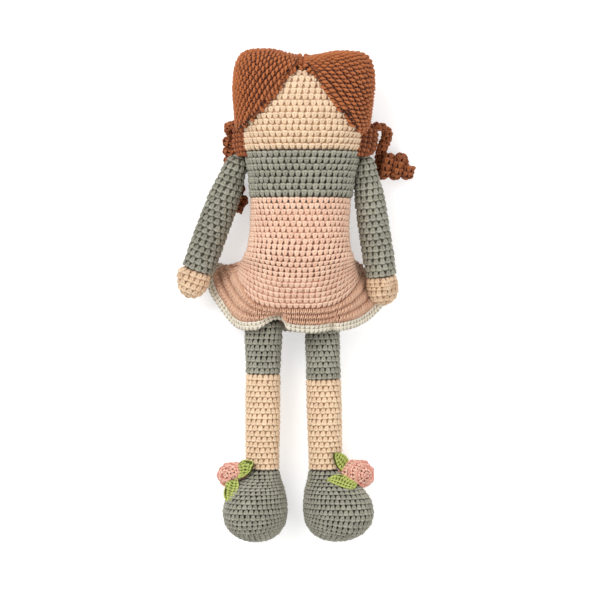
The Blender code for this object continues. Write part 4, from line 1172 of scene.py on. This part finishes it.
def leaf_lines(node, above):
    """Two sets of lines over a leaf, from its vein out to each edge."""
    points = coordinates(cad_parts[node].data)
    centre = points.mean(axis=0)
    length, width, _ = np.linalg.svd(points - centre, full_matrices=False)[2]
    upward = np.cross(length, width)
    if upward @ above < 0:
        width, upward = -width, -upward
    tree = solid(node)
    reach = (points - centre) @ length
    span = abs((points - centre) @ width).max() * LEAF_SPAN
    rows = [[], [], []]
    for along in np.linspace(reach.min() + LEAF_END, reach.max() - LEAF_END, LEAF_LINES):
        hits = []
        for aside in np.linspace(-span, span, LEAF_SAMPLES):
            origin = centre + length * along + width * aside + upward * OFF_LEAF
            hit = tree.ray_cast(Vector(origin), Vector(-upward), THROUGH_LEAF)[0]
            if hit is not None:
                hits.append(hit)
        if len(hits) > 1:
            for row, hit in zip(rows, (hits[0], hits[len(hits) // 2], hits[-1])):
                row.append(hit)
    lines = smoothed([even_line(row, LEAF_LINES) for row in rows], 2, closed=False)
    left, vein, right = lines
    return [np.array([vein, (vein + right) / 2, right]), np.array([vein, (vein + left) / 2, left])[:, ::-1]]


def upright(along, normal):
    """A turn whose columns are this direction, this normal set square to it, and the way across."""
    along = along.normalized()
    normal = (normal - along * normal.dot(along)).normalized()
    return Matrix((along, normal, along.cross(normal))).transposed()


# Each leaf grows and moves from its CAD solid by this much, seen from above it, and one is turned as well: its aim is
# the way from its stem to its tip and the way that its face looks.
LEAVES = (
    ("lower_left", (0, 0, 1), 1.35, (0.0005, 0.0027, 0.0129), ((0.2, 0.84, -0.5), (-0.62, 0.42, 0.66))),
    ("upper_left", (-0.3, 0, 0.9), 1.45, (-0.0036, 0.0, 0.0045), None),
    ("lower_right", (0.2, 0, 1), 1.05, (0.0016, 0.0, 0.0006), None),
    ("upper_right", (0.2, 0, 1), 1.30, (0.0028, 0.0004, 0.0020), None),
    ("small_right", (0.8, 0, 0.5), 1.1, (0.0, 0.0, 0.0005), None),
)
for leaf, above, growth, shift, aim in LEAVES:
    name, body = "leaf_" + leaf, "leg_" + leaf.split("_")[1]
    lines = leaf_lines(name, np.array(above))
    centre = Vector(lines[0].mean(axis=(0, 1)))
    turn = Matrix.Identity(3)
    if aim:
        vein, middle = lines[0][0], LEAF_LINES // 2
        along, across = Vector(vein[-1] - vein[0]), Vector(lines[0][2][middle] - lines[1][0][middle])
        turn = upright(Vector(aim[0]), Vector(aim[1])) @ upright(along, along.cross(across)).transposed()
    grown = turn.to_4x4() @ Matrix.Scale(growth, 4)
    place = Matrix.Translation(centre + Vector(shift)) @ grown @ Matrix.Translation(-centre)
    lining(name + "_lining", name, body, "green", 0.0005, place=place)
    lines = [placed(line, place) for line in lines]
    crochet(name + "_stitches", lines, "green", body, 0.0024, 0.0026, 0.0004, False, seed=20)
